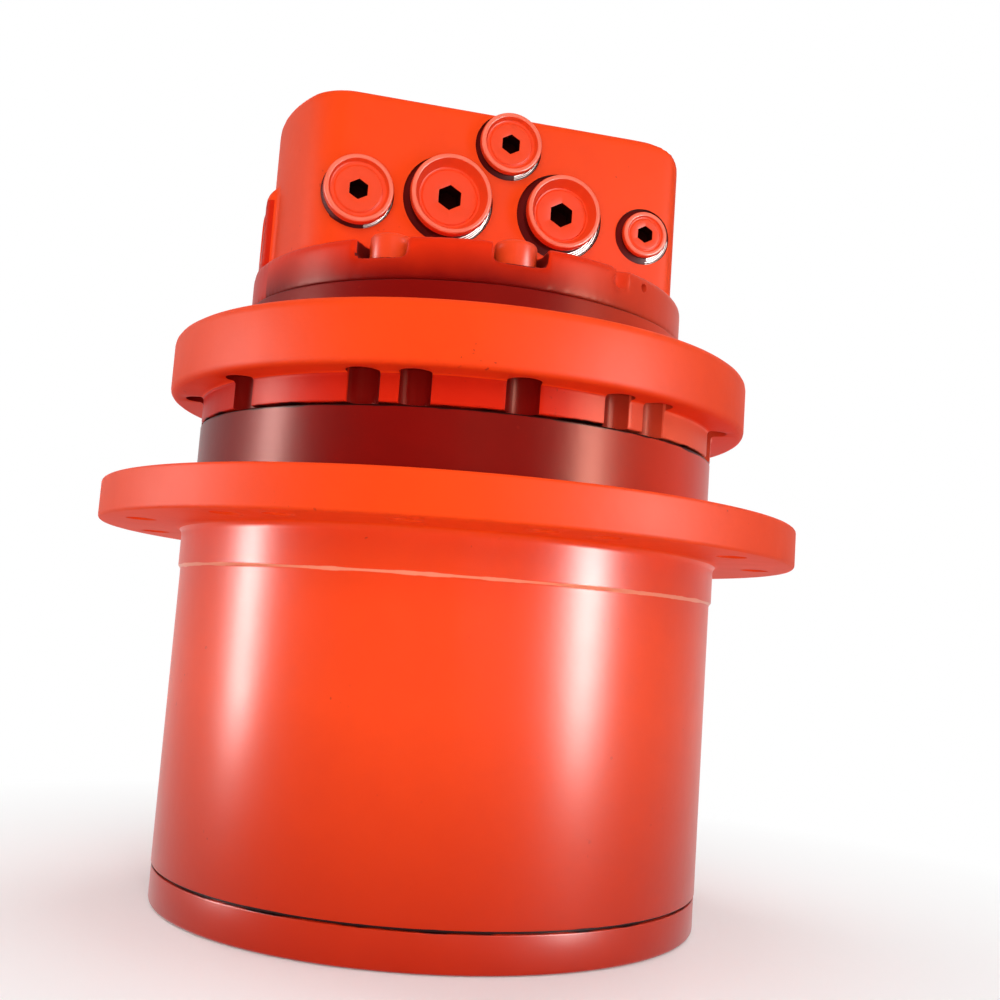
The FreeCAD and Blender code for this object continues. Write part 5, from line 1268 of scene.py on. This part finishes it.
@dataclass
class PortBlock:
    """The cast block with the ports: round at the back, flat at the port face and at the right."""

    finishes: Finishes
    seat_height: ClassVar[float] = 276.5 * MM
    screw_circle: ClassVar[float] = 92.0 * MM
    face_distance: ClassVar[float] = 56.0 * MM
    spool_inset: ClassVar[float] = 64.0 * MM
    foot_radius: float = 103.4 * MM
    foot_height: float = 19.0 * MM
    radius: float = 97.5 * MM
    right_side: float = 86.5 * MM
    rim_rounding: float = 4.0 * MM
    front_rounding: float = 8.5 * MM
    back_rounding: float = 6.0 * MM
    shoulder_width: float = 26.0 * MM
    shoulder_drop: float = 13.0 * MM
    left_rounding: float = 22.0 * MM
    pocket_radius: float = 11.5 * MM
    pocket_shade: float = 7.0 * MM
    notch_angle: float = math.radians(27.5)
    notch_circle: float = 102.0 * MM
    notch_radius: float = 3.5 * MM
    notch_height: float = 12.0 * MM
    ear_side: float = 101.5 * MM
    ear_inner: float = 80.0 * MM
    ear_half_width: float = 20.0 * MM
    ear_lift: float = 8.0 * MM
    ear_height: float = 60.0 * MM
    ear_rounding: float = 9.0 * MM
    ear_edge: float = 2.5 * MM
    ear_shade: float = 52.0 * MM
    spool_side: float = 4.0 * MM
    spool_radius: float = 11.05 * MM
    spool_mouth_radius: float = 15.05 * MM
    ear_hole: SideHole = SideHole(math.radians(-88), 20.0 * MM, 4.5 * MM, 9.0 * MM)
    pin_hole: SideHole = SideHole(math.radians(36), 14.0 * MM, 2.0 * MM, 8.0 * MM)
    grain: float = 1.35 * MM
    smoothing: int = 7

    @staticmethod
    def screw_angles() -> List[float]:
        """Give the angles of the cap screws round the axis."""
        degrees = [0, -33] + [78 + 39 * index for index in range(5)]
        return [PORT_SIDE + math.radians(angle) for angle in degrees]

    def build(self) -> None:
        """Make the block and dress it."""
        low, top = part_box("motor_housing")[1].z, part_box("port_block")[1].z
        block = self._body(low + 2 * MM, top)
        combine(block, self._foot(low), "UNION")
        combine(block, self._ear(low), "UNION")
        combine(block, self._pockets(top), "DIFFERENCE")
        apply_modifier(block, "REMESH", mode="VOXEL", voxel_size=self.grain, adaptivity=0.0)
        apply_modifier(block, "SMOOTH", factor=0.5, iterations=self.smoothing)
        combine(block, self._bores(low), "DIFFERENCE")
        shade(block, 40.0)
        dress(block, self.finishes.cast_paint, self.finishes.pilot_paint_and_shade, self.finishes.hollow_shade_paint,
              self.finishes.pad_paint)
        recesses = [(plug.place(), plug.recess) for plug in PLUGS]
        # The foot takes the darker pilot paint as painted shade under the plugs.
        dress_where(block, 1, lambda face: face.center.z < low + self.foot_height - 0.4 * MM)
        # The lower part of the ear takes the darker pad paint as painted shade.
        dress_where(block, 3, lambda face: face.center.x < -self.ear_side + 3 * MM
                    and face.center.z < low + self.ear_shade)
        # Screw pockets and plug recesses take near-black paint as painted shade.
        dress_where(block, 2, lambda face: self._is_pocket(face) or self._is_recess(face, recesses))
        settle(block, "housing", "port_block")

    def _is_pocket(self, face: Face) -> bool:
        """Tell whether a face lies in the lower part of a screw pocket.

        Args:
            face: The face.

        Returns:
            Whether it does.
        """
        rise, radius = face.center.z - self.seat_height, off_axis(face)
        if not -MM < rise < self.pocket_shade or radius >= self.foot_radius - MM:
            return False
        reach = self.pocket_radius + 0.3 * MM
        for screw in self.screw_angles():
            turn = math.atan2(face.center.y, face.center.x) - screw
            along, across = radius * math.cos(turn) - self.screw_circle, radius * math.sin(turn)
            if abs(across) < reach and (along > 0 or math.hypot(along, across) < reach):
                return True
        return False

    def _is_recess(self, face: Face, recesses: Sequence[Tuple[Vector, float]]) -> bool:
        """Tell whether a face is a floor or a wall of a recess round a plug.

        Args:
            face: The face.
            recesses: The place and the radius of each recess.

        Returns:
            Whether it is.
        """
        floor = abs(face.center.y + self.face_distance - PortPlugs.sink) < 0.03 * MM
        for place, radius in recesses:
            away = math.hypot(face.center.x - place.x, face.center.z - place.z)
            wall = abs(away - radius) < 0.06 * MM and abs(face.normal.y) < 0.2
            if wall or (floor and away < radius):
                return True
        return False

    def _body(self, low: float, top: float) -> Piece:
        """Draw the block's outline with straight runs and arcs, raise it and round its upper rim.

        Args:
            low: The height of its underside.
            top: The height of its top.

        Returns:
            The body, without foot, ear, pockets and bores.
        """
        face, side, radius = -self.face_distance, self.right_side, self.radius
        left = Vector((-math.sqrt((radius - self.left_rounding) ** 2 - (face + self.left_rounding) ** 2),
                       face + self.left_rounding, low))
        front = Vector((side - self.front_rounding, face + self.front_rounding, low))
        back = Vector((side - self.back_rounding, 0, low))
        back.y = math.sqrt((radius - self.back_rounding) ** 2 - back.x ** 2)
        back_turn, left_turn = math.atan2(back.y, back.x), math.atan2(-left.y, -left.x)
        start_clean()
        bpy.ops.mesh.primitive_plane_add(size=MM, location=(left.x, face, low))
        block = newest("port_block_casting")
        with editing(block):
            shrink_to_vertex()
            extrude(front.x - left.x, 0, 0)
            self._arc(front, math.radians(90), 12)
            extrude(0, back.y - front.y, 0)
            self._arc(back, back_turn, 8)
            self._arc(Vector((0, 0, low)), math.pi + left_turn - back_turn, 120)
            self._arc(left, math.radians(90) - left_turn, 16)
            select_mesh()
            bpy.ops.mesh.remove_doubles(threshold=0.01 * MM)
            select_mesh()
            bpy.ops.mesh.edge_face_add()
            extrude(0, 0, top - low)
            select_mesh()
            bpy.ops.mesh.normals_make_consistent(inside=False)
            select_where(block, "edges", lambda edge: min(vert.co.z for vert in edge.verts) > top - 0.01 * MM)
            bpy.ops.mesh.bevel(offset=self.rim_rounding, segments=6, profile=0.5, affect="EDGES",
                               clamp_overlap=False)
        self._round_shoulder(block, top)
        return block

    @staticmethod
    def _arc(centre: Vector, angle: float, steps: int) -> None:
        """Draw an arc from the selected vertex, counted anticlockwise seen from above."""
        bpy.ops.mesh.spin(steps=steps, angle=-angle, center=centre, axis=(0, 0, 1))

    def _round_shoulder(self, block: Piece, top: float) -> None:
        """Cut the right shoulder round with a bar whose hollow side is an arc.

        Args:
            block: The block's body.
            top: The height of its top.
        """
        width, drop = self.shoulder_width, self.shoulder_drop
        bar = box_piece("shoulder_bar", (self.right_side, 0, top), (2 * width, 0.25, 2 * drop))
        core = round_post("shoulder_core", (0, 0), width, -0.15, 0.15, sides=128)
        core.data.transform(Matrix.Translation((self.right_side - width, 0, top - drop))
                            @ Matrix.Diagonal((1, 1, drop / width, 1)) @ Matrix.Rotation(math.pi / 2, 4, "X"))
        combine(bar, core, "DIFFERENCE")
        with editing(bar):
            select_where(bar, "verts", lambda vert: vert.co.x < self.right_side - width - 0.01 * MM
                         or vert.co.z < top - drop - 0.01 * MM)
            bpy.ops.mesh.delete(type="VERT")
            bpy.ops.mesh.select_mode(type="EDGE")
            select_mesh()
            bpy.ops.mesh.region_to_loop()
            bpy.ops.mesh.edge_face_add()
        combine(block, bar, "DIFFERENCE")

    def _foot(self, low: float) -> Piece:
        """Make the round foot under the block."""
        return turned("foot", [
            Corner(0.0, low),
            Corner(self.foot_radius, low, 0.6 * MM),
            Corner(self.foot_radius, low + self.foot_height, 1.6 * MM),
            Corner(0.0, low + self.foot_height),
        ])

    def _ear(self, low: float) -> Piece:
        """Make the ear on the left side, its outer top edge rounded.

        Args:
            low: The height of the block's joint.

        Returns:
            The ear.
        """
        crown = low + self.ear_height
        width, height = self.ear_side - self.ear_inner, self.ear_height - self.ear_lift
        middle = (-(self.ear_side + self.ear_inner) / 2, self.spool_side, crown - height / 2)
        ear = box_piece("ear", middle, (width, 2 * self.ear_half_width, height))
        with editing(ear):
            select_where(ear, "edges", lambda edge: all(
                vert.co.z > crown - 0.1 * MM and vert.co.x < 0.1 * MM - self.ear_side for vert in edge.verts))
            bpy.ops.mesh.bevel(offset=self.ear_rounding, segments=8, profile=0.5, affect="EDGES")
            select_where(ear, "edges", lambda edge: abs(edge.verts[0].co.y - edge.verts[1].co.y) < 0.1 * MM
                         and all(vert.co.x < -self.ear_inner - MM for vert in edge.verts))
            bpy.ops.mesh.bevel(offset=self.ear_edge, segments=4, profile=0.5, affect="EDGES")
        return ear

    def _pockets(self, top: float) -> Piece:
        """Make the cutters of the screw pockets, open to the outside, and of the narrow notch.

        Args:
            top: The height of the block's top.

        Returns:
            The cutters, joined.
        """
        cutters = []
        length = self.foot_radius + self.pocket_radius - self.screw_circle
        height = top - self.seat_height + 10 * MM
        middle = (self.screw_circle + length / 2, 0, 0)
        for angle in self.screw_angles():
            mouth = box_piece("mouth", middle, (length, 2 * self.pocket_radius, height))
            post = round_post("pocket", (self.screw_circle, 0), self.pocket_radius, -height / 2, height / 2,
                              sides=48)
            combine(post, mouth, "UNION")
            lift = Matrix.Translation((0, 0, self.seat_height + height / 2))
            post.data.transform(lift @ Matrix.Rotation(angle, 4, "Z"))
            cutters.append(post)
        cutters.append(round_post("notch", on_circle(self.notch_circle, PORT_SIDE + self.notch_angle),
                                  self.notch_radius, self.seat_height, self.seat_height + self.notch_height))
        return joined("pockets", cutters)

    def _bores(self, low: float) -> Piece:
        """Make the cutters of the machined bores: spool, ports, ear hole and pin hole.

        Args:
            low: The height of the block's joint.

        Returns:
            The cutters, joined.
        """
        spool_low, spool_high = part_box("counterbalance_spool")
        middle = Vector((0, self.spool_side, spool_low.z / 2 + spool_high.z / 2))
        cutters = []
        for radius, start, end in ((self.spool_radius, -self.spool_inset, self.spool_inset),
                                   (self.spool_mouth_radius, -self.ear_side - 5 * MM, -self.spool_inset),
                                   (self.spool_mouth_radius, self.spool_inset, self.right_side + 5 * MM)):
            bore = round_post("bore", (0, 0), radius, start, end, sides=64)
            turn_into_place(bore, Axis.X, middle)
            cutters.append(bore)
        for plug in PLUGS:
            bore = round_post("port", (0, 0), plug.thread_radius + 0.05 * MM, -plug.thread_length - 2 * MM,
                              5 * MM, sides=64)
            recess = round_post("recess", (0, 0), plug.recess, -PortPlugs.sink, 5 * MM, sides=96)
            combine(bore, recess, "UNION")
            turn_into_place(bore, Axis.MINUS_Y, plug.place())
            cutters.append(bore)
        for hole, start in ((self.ear_hole, self.ear_side), (self.pin_hole, self.foot_radius)):
            drill = round_post("hole", (0, 0), hole.radius, start - hole.depth, start + 4 * MM)
            turn_into_place(drill, Axis.X, Vector((0, 0, low + hole.height)))
            drill.data.transform(Matrix.Rotation(PORT_SIDE + hole.angle, 4, "Z"))
            cutters.append(drill)
        return joined("bores", cutters)


@dataclass(frozen=True)
class Plug:
    """One port plug: its node, the sizes of its head and thread, and the recess round it."""

    node: str
    head: float
    height: float
    skirt: float
    dish: float
    key: float
    thread_radius: float
    thread_length: float
    recess: float

    def place(self) -> Vector:
        """Find the middle of the plug's seat on the port face."""
        low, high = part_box(self.node)
        return Vector(((low.x + high.x) / 2, -PortBlock.face_distance, (low.z + high.z) / 2))


PLUGS = (
    Plug("left_plug", 18.2 * MM, 9.0 * MM, 4.4 * MM, 6.0 * MM, 10 * MM, 12.45 * MM, 22 * MM, 20.4 * MM),
    Plug("right_plug", 17.0 * MM, 9.0 * MM, 4.4 * MM, 6.0 * MM, 10 * MM, 12.45 * MM, 22 * MM, 20.0 * MM),
    Plug("drain_plug", 15.3 * MM, 6.5 * MM, 2.2 * MM, 2.4 * MM, 8 * MM, 9.45 * MM, 16 * MM, 16.2 * MM),
    Plug("case_plug", 14.1 * MM, 6.5 * MM, 3.0 * MM, 2.6 * MM, 8 * MM, 9.45 * MM, 16 * MM, 15.4 * MM),
    Plug("pilot_plug", 10.6 * MM, 4.6 * MM, 1.6 * MM, 1.2 * MM, 7 * MM, 6.45 * MM, 12 * MM, 13.2 * MM),
)


@dataclass
class PortPlugs:
    """The five plugs of the port face, each with its seal washer, and the two plugs of the spool's bore."""

    finishes: Finishes
    sink: ClassVar[float] = 1.6 * MM
    head_chamfer: float = 0.7 * MM
    neck_inset: float = 2.6 * MM
    rim_width: float = 1.3 * MM
    step_share: float = 0.70
    step_width: float = 0.5 * MM
    washer_height: float = 1.5 * MM
    washer_inset: float = 2.4 * MM
    washer_clearance: float = 0.3 * MM
    ribs: int = 4
    rib_share: float = 0.16
    glint_share: float = 0.45
    spool_key: float = 12.0 * MM
    spool_key_depth: float = 6.0 * MM

    def build(self) -> None:
        """Make each plug and its washer, then the spool's plugs."""
        for plug in PLUGS:
            self._plug(plug)
            self._washer(plug)
        low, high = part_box("spool_plugs")
        self._spool_plug("left_spool_plug", low.x, -PortBlock.spool_inset)
        self._spool_plug("right_spool_plug", high.x, PortBlock.spool_inset)

    def _plug(self, plug: Plug) -> None:
        """Model one plug along +Z and turn it into its port.

        Args:
            plug: The plug's sizes.
        """
        inner = plug.head - self.head_chamfer - self.rim_width
        neck = plug.head - self.neck_inset
        base = 0.02 * MM - self.sink
        floor = plug.height - plug.dish
        step = self.step_share * plug.head
        piece = turned(plug.node + "_turned", [
            Corner(0.0, -plug.thread_length),
            Corner(plug.thread_radius, -plug.thread_length, 1.0 * MM),
            Corner(plug.thread_radius, base),
            Corner(neck, base),
            Corner(neck, plug.skirt - 0.6 * MM, 0.3 * MM),
            Corner(plug.head, plug.skirt, 0.3 * MM),
            Corner(plug.head, plug.height - self.head_chamfer, 0.4 * MM),
            Corner(plug.head - self.head_chamfer, plug.height, 0.3 * MM),
            Corner(inner, plug.height, 0.3 * MM),
            Corner(inner - 0.4 * plug.dish, floor, 0.5 * MM),
            Corner(step, floor, 0.2 * MM),
            Corner(step - self.step_width, floor + self.step_width, 0.2 * MM),
            Corner(0.0, floor + self.step_width),
        ], steps=96, arc_steps=3)
        cut_socket(piece, plug.key, floor - 0.9 * plug.key, plug.height + MM)
        soften(piece, 0.2 * MM, angle=55.0)
        dress(piece, self.finishes.plug_paint, self.finishes.socket_dark, self.finishes.rim_highlight_paint,
              self.finishes.hollow_shade_paint)
        dress_where(piece, 1, lambda face: -plug.thread_length + 2 * MM < face.center.z < floor + 0.25 * MM
                    and off_axis(face) < 0.6 * plug.key)
        # The outer rim of the head gets a lighter paint as a painted highlight.
        dress_where(piece, 2, lambda face: face.center.z > plug.height - 0.5 * MM
                    and off_axis(face) > inner - 0.5 * MM)
        # The neck under the head gets near-black paint as painted shade.
        dress_where(piece, 3, lambda face: -self.sink < face.center.z < plug.skirt
                    and off_axis(face) > neck - 0.6 * MM)
        turn_into_place(piece, Axis.MINUS_Y, plug.place())
        settle(piece, "housing", plug.node)

    def _washer(self, plug: Plug) -> None:
        """Make the ribbed seal washer that shows round the plug's foot, dark with painted shade, and bright
        steel on its lower right as a painted glint.

        Args:
            plug: The plug's sizes.
        """
        inner, outer = plug.head - self.washer_inset, plug.recess - self.washer_clearance
        base = 0.05 * MM - self.sink
        rise, rib = self.washer_height / self.ribs, self.rib_share * (outer - inner)
        corners = [Corner(inner, base), Corner(outer, base)]
        for index in range(self.ribs):
            height, edge = base + rise * index, outer - rib * index
            corners += [Corner(edge, height + 0.6 * rise), Corner(edge - 0.3 * MM, height + rise)]
        corners.append(Corner(inner, base + self.washer_height))
        washer = turned(plug.node + "_washer", corners, steps=96)
        shade(washer, 20.0)
        dress(washer, self.finishes.hollow_shade_paint, self.finishes.washer_glint_metal)
        # Only the lower right ribs get bright steel, as a painted glint; the rest stays in painted shade.
        dress_where(washer, 1, lambda face: face.center.x > 0.25 * plug.head and face.center.y < 0
                    and face.normal.z > 0.2 and (outer - off_axis(face)) / rib % 1 < self.glint_share)
        turn_into_place(washer, Axis.MINUS_Y, plug.place())
        settle(washer, "housing", plug.node)

    def _spool_plug(self, name: str, start: float, end: float) -> None:
        """Make one of the two plugs that close the spool's bore.

        Args:
            name: The plug's name.
            start: Where its outer face is along X.
            end: Where its inner face is along X.
        """
        low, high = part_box("spool_plugs")
        radius, length = (high.z - low.z) / 2, abs(end - start)
        piece = turned(name, [
            Corner(0.0, 0.0),
            Corner(radius, 0.0, 0.5 * MM),
            Corner(radius, length, 1.4 * MM),
            Corner(0.0, length),
        ], steps=96)
        cut_socket(piece, self.spool_key, length - self.spool_key_depth, length + MM)
        soften(piece, 0.25 * MM)
        dress(piece, self.finishes.plug_paint)
        turn = Matrix.Rotation(math.copysign(math.pi / 2, start), 4, "Y")
        middle = (low + high) / 2
        piece.data.transform(Matrix.Translation((end, middle.y, middle.z)) @ turn)
        settle(piece, "housing", "spool_plugs")


@dataclass
class InnerParts:
    """Gears, bearings, seals and motor parts, which keep their solids."""

    finishes: Finishes

    def build(self) -> None:
        """Give every solid that still shows the finish of its slot."""
        slots = {entry["node"]: entry["material_slot"] for entry in frame["record"]["subparts"]}
        for node, solid in frame["nodes"].items():
            if not solid.hide_render:
                dress(solid, self.finishes.slots[slots[node]])
                log.info("%s: dressed as %s", node, slots[node])


# Studio

class Use(Enum):
    """What a lamp is for: it lights the drive, or it only shows in its gloss."""

    LIGHT = "light"
    GLOSS = "gloss"


@dataclass(frozen=True)
class SoftBox:
    """One soft lamp, aimed at a height of the axis from a direction and a distance."""

    name: str
    use: Use
    aim: float
    azimuth: float
    elevation: float
    distance: float
    size: Tuple[float, float]
    power: float

    def build(self) -> None:
        """Hang the lamp and point it at the drive's axis."""
        start_clean()
        angle, rise = math.radians(self.azimuth), math.radians(self.elevation)
        away = Vector((math.sin(angle) * math.cos(rise), -math.cos(angle) * math.cos(rise), math.sin(rise)))
        bpy.ops.object.light_add(type="AREA", location=Vector((0, 0, self.aim)) + away * self.distance)
        lamp = bpy.context.object
        lamp.name = self.name
        lamp.data.shape = "RECTANGLE"
        lamp.data.size, lamp.data.size_y = self.size
        lamp.data.energy = self.power
        lamp.visible_diffuse = self.use is Use.LIGHT
        lamp.visible_glossy = self.use is Use.GLOSS
        lamp.visible_camera = False
        lamp.rotation_mode = "QUATERNION"
        lamp.rotation_quaternion = (-away).to_track_quat("-Z", "Y")


@dataclass
class Studio:
    """Camera, lamps, white surroundings and the pale floor."""

    camera_place: Tuple[float, float, float] = (-0.1158, -0.5700, 0.1238)
    heading: float = math.radians(13.71)
    pitch: float = math.radians(6.51)
    roll: float = 0.0710
    lens: float = 43.54
    fill: float = 0.34
    floor_radius: float = 9.0
    floor_height: float = -0.3 * MM
    floor_grey: float = 0.80
    floor_lift: float = 0.14
    floor_fade: Tuple[float, float] = (0.15, 0.42)
    lamps: Tuple[SoftBox, ...] = (
        SoftBox("left_strip", Use.GLOSS, 0.205, -88.0, 0.0, 0.50, (0.07, 0.4), 8.4),
        SoftBox("right_strip", Use.GLOSS, 0.205, 40.5, 0.0, 0.52, (0.09, 0.4), 16.0),
        SoftBox("front_panel", Use.LIGHT, 0.18, -8.0, 24.0, 1.5, (0.8, 0.7), 9.8),
        SoftBox("low_panel", Use.LIGHT, 0.20, -15.0, -8.0, 1.1, (0.9, 0.08), 2.6),
        SoftBox("top_panel", Use.LIGHT, 0.18, 20.0, 80.0, 1.6, (1.4, 1.4), 6.0),
        SoftBox("back_left_panel", Use.LIGHT, 0.18, -140.0, 28.0, 1.6, (0.9, 0.8), 6.5),
        SoftBox("back_right_panel", Use.LIGHT, 0.18, 135.0, 28.0, 1.6, (0.9, 0.8), 6.5),
    )

    def build(self) -> None:
        """Set up the studio."""
        bpy.context.scene.view_settings.view_transform = "Standard"
        for lamp in self.lamps:
            lamp.build()
        self._camera()
        self._surroundings()
        self._floor()

    def _camera(self) -> None:
        """Place the camera at the photograph's viewing angle."""
        start_clean()
        bpy.ops.object.camera_add(location=self.camera_place)
        camera = bpy.context.object
        level = Vector((math.cos(self.heading), -math.sin(self.heading), 0))
        ahead = Vector((math.sin(self.heading) * math.cos(self.pitch),
                        math.cos(self.heading) * math.cos(self.pitch), math.sin(self.pitch)))
        upright = level.cross(ahead)
        right = level * math.cos(self.roll) + upright * math.sin(self.roll)
        up = upright * math.cos(self.roll) - level * math.sin(self.roll)
        camera.rotation_mode = "QUATERNION"
        camera.rotation_quaternion = Matrix((right, up, -ahead)).transposed().to_quaternion()
        camera.data.lens = self.lens
        camera.data.sensor_width = 36.0
        camera.data.clip_start, camera.data.clip_end = 0.01, 50.0
        bpy.context.scene.camera = camera

    def _surroundings(self) -> None:
        """Light the drive from all round, and show white behind it and in its gloss."""
        world = bpy.data.worlds.new("white_studio")
        world.use_nodes = True
        bpy.context.scene.world = world
        wire = Wiring(world.node_tree)
        light = wire.glow("ShaderNodeBackground", self.fill)
        shown = wire.glow("ShaderNodeBackground", 1.0)
        surface = wire.blend(wire.shown_directly(), light, shown)
        wire.link(surface, world.node_tree.nodes["World Output"].inputs["Surface"])

    def _floor(self) -> None:
        """Lay a pale floor that keeps the drive's shadow, turns white further out and is open from below."""
        start_clean()
        bpy.ops.mesh.primitive_circle_add(vertices=96, radius=self.floor_radius, fill_type="NGON",
                                          location=(0, 0, self.floor_height))
        floor = newest("studio_floor")
        material, wire, shader = start_material("pale_floor")
        shader.inputs["Base Color"].default_value = rgba((self.floor_grey,) * 3)
        shader.inputs["Roughness"].default_value = 0.9
        shader.inputs["Specular IOR Level"].default_value = 0.1
        lift = wire.glow("ShaderNodeEmission", self.floor_lift)
        near = wire.fed("ShaderNodeAddShader", shader.outputs[0], lift)[0]
        away = wire.fed("ShaderNodeVectorMath", wire.object_place(), operation="LENGTH")["Value"]
        shown = wire.blend(wire.spread(away, *self.floor_fade), near, wire.glow("ShaderNodeEmission", 1.0))
        above = wire.blend(wire.shown_directly(), shader.outputs[0], shown)
        below = wire.node("ShaderNodeBsdfTransparent").outputs[0]
        surface = wire.blend(wire.node("ShaderNodeNewGeometry").outputs["Backfacing"], above, below)
        wire.link(surface, material.node_tree.nodes["Material Output"].inputs["Surface"])
        floor.data.materials.append(material)
        floor.visible_glossy = False


def main() -> None:
    """Build the drive's looks in order."""
    logging.basicConfig(level=logging.INFO, format="%(message)s")
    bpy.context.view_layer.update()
    finishes = Finishes()
    for assembly in (TurningDrum, EndCover, MotorHousing, PortBlock, PortPlugs, CapScrews, InnerParts):
        assembly(finishes).build()
    Studio().build()
    start_clean()


if __name__ == "__main__":
    main()
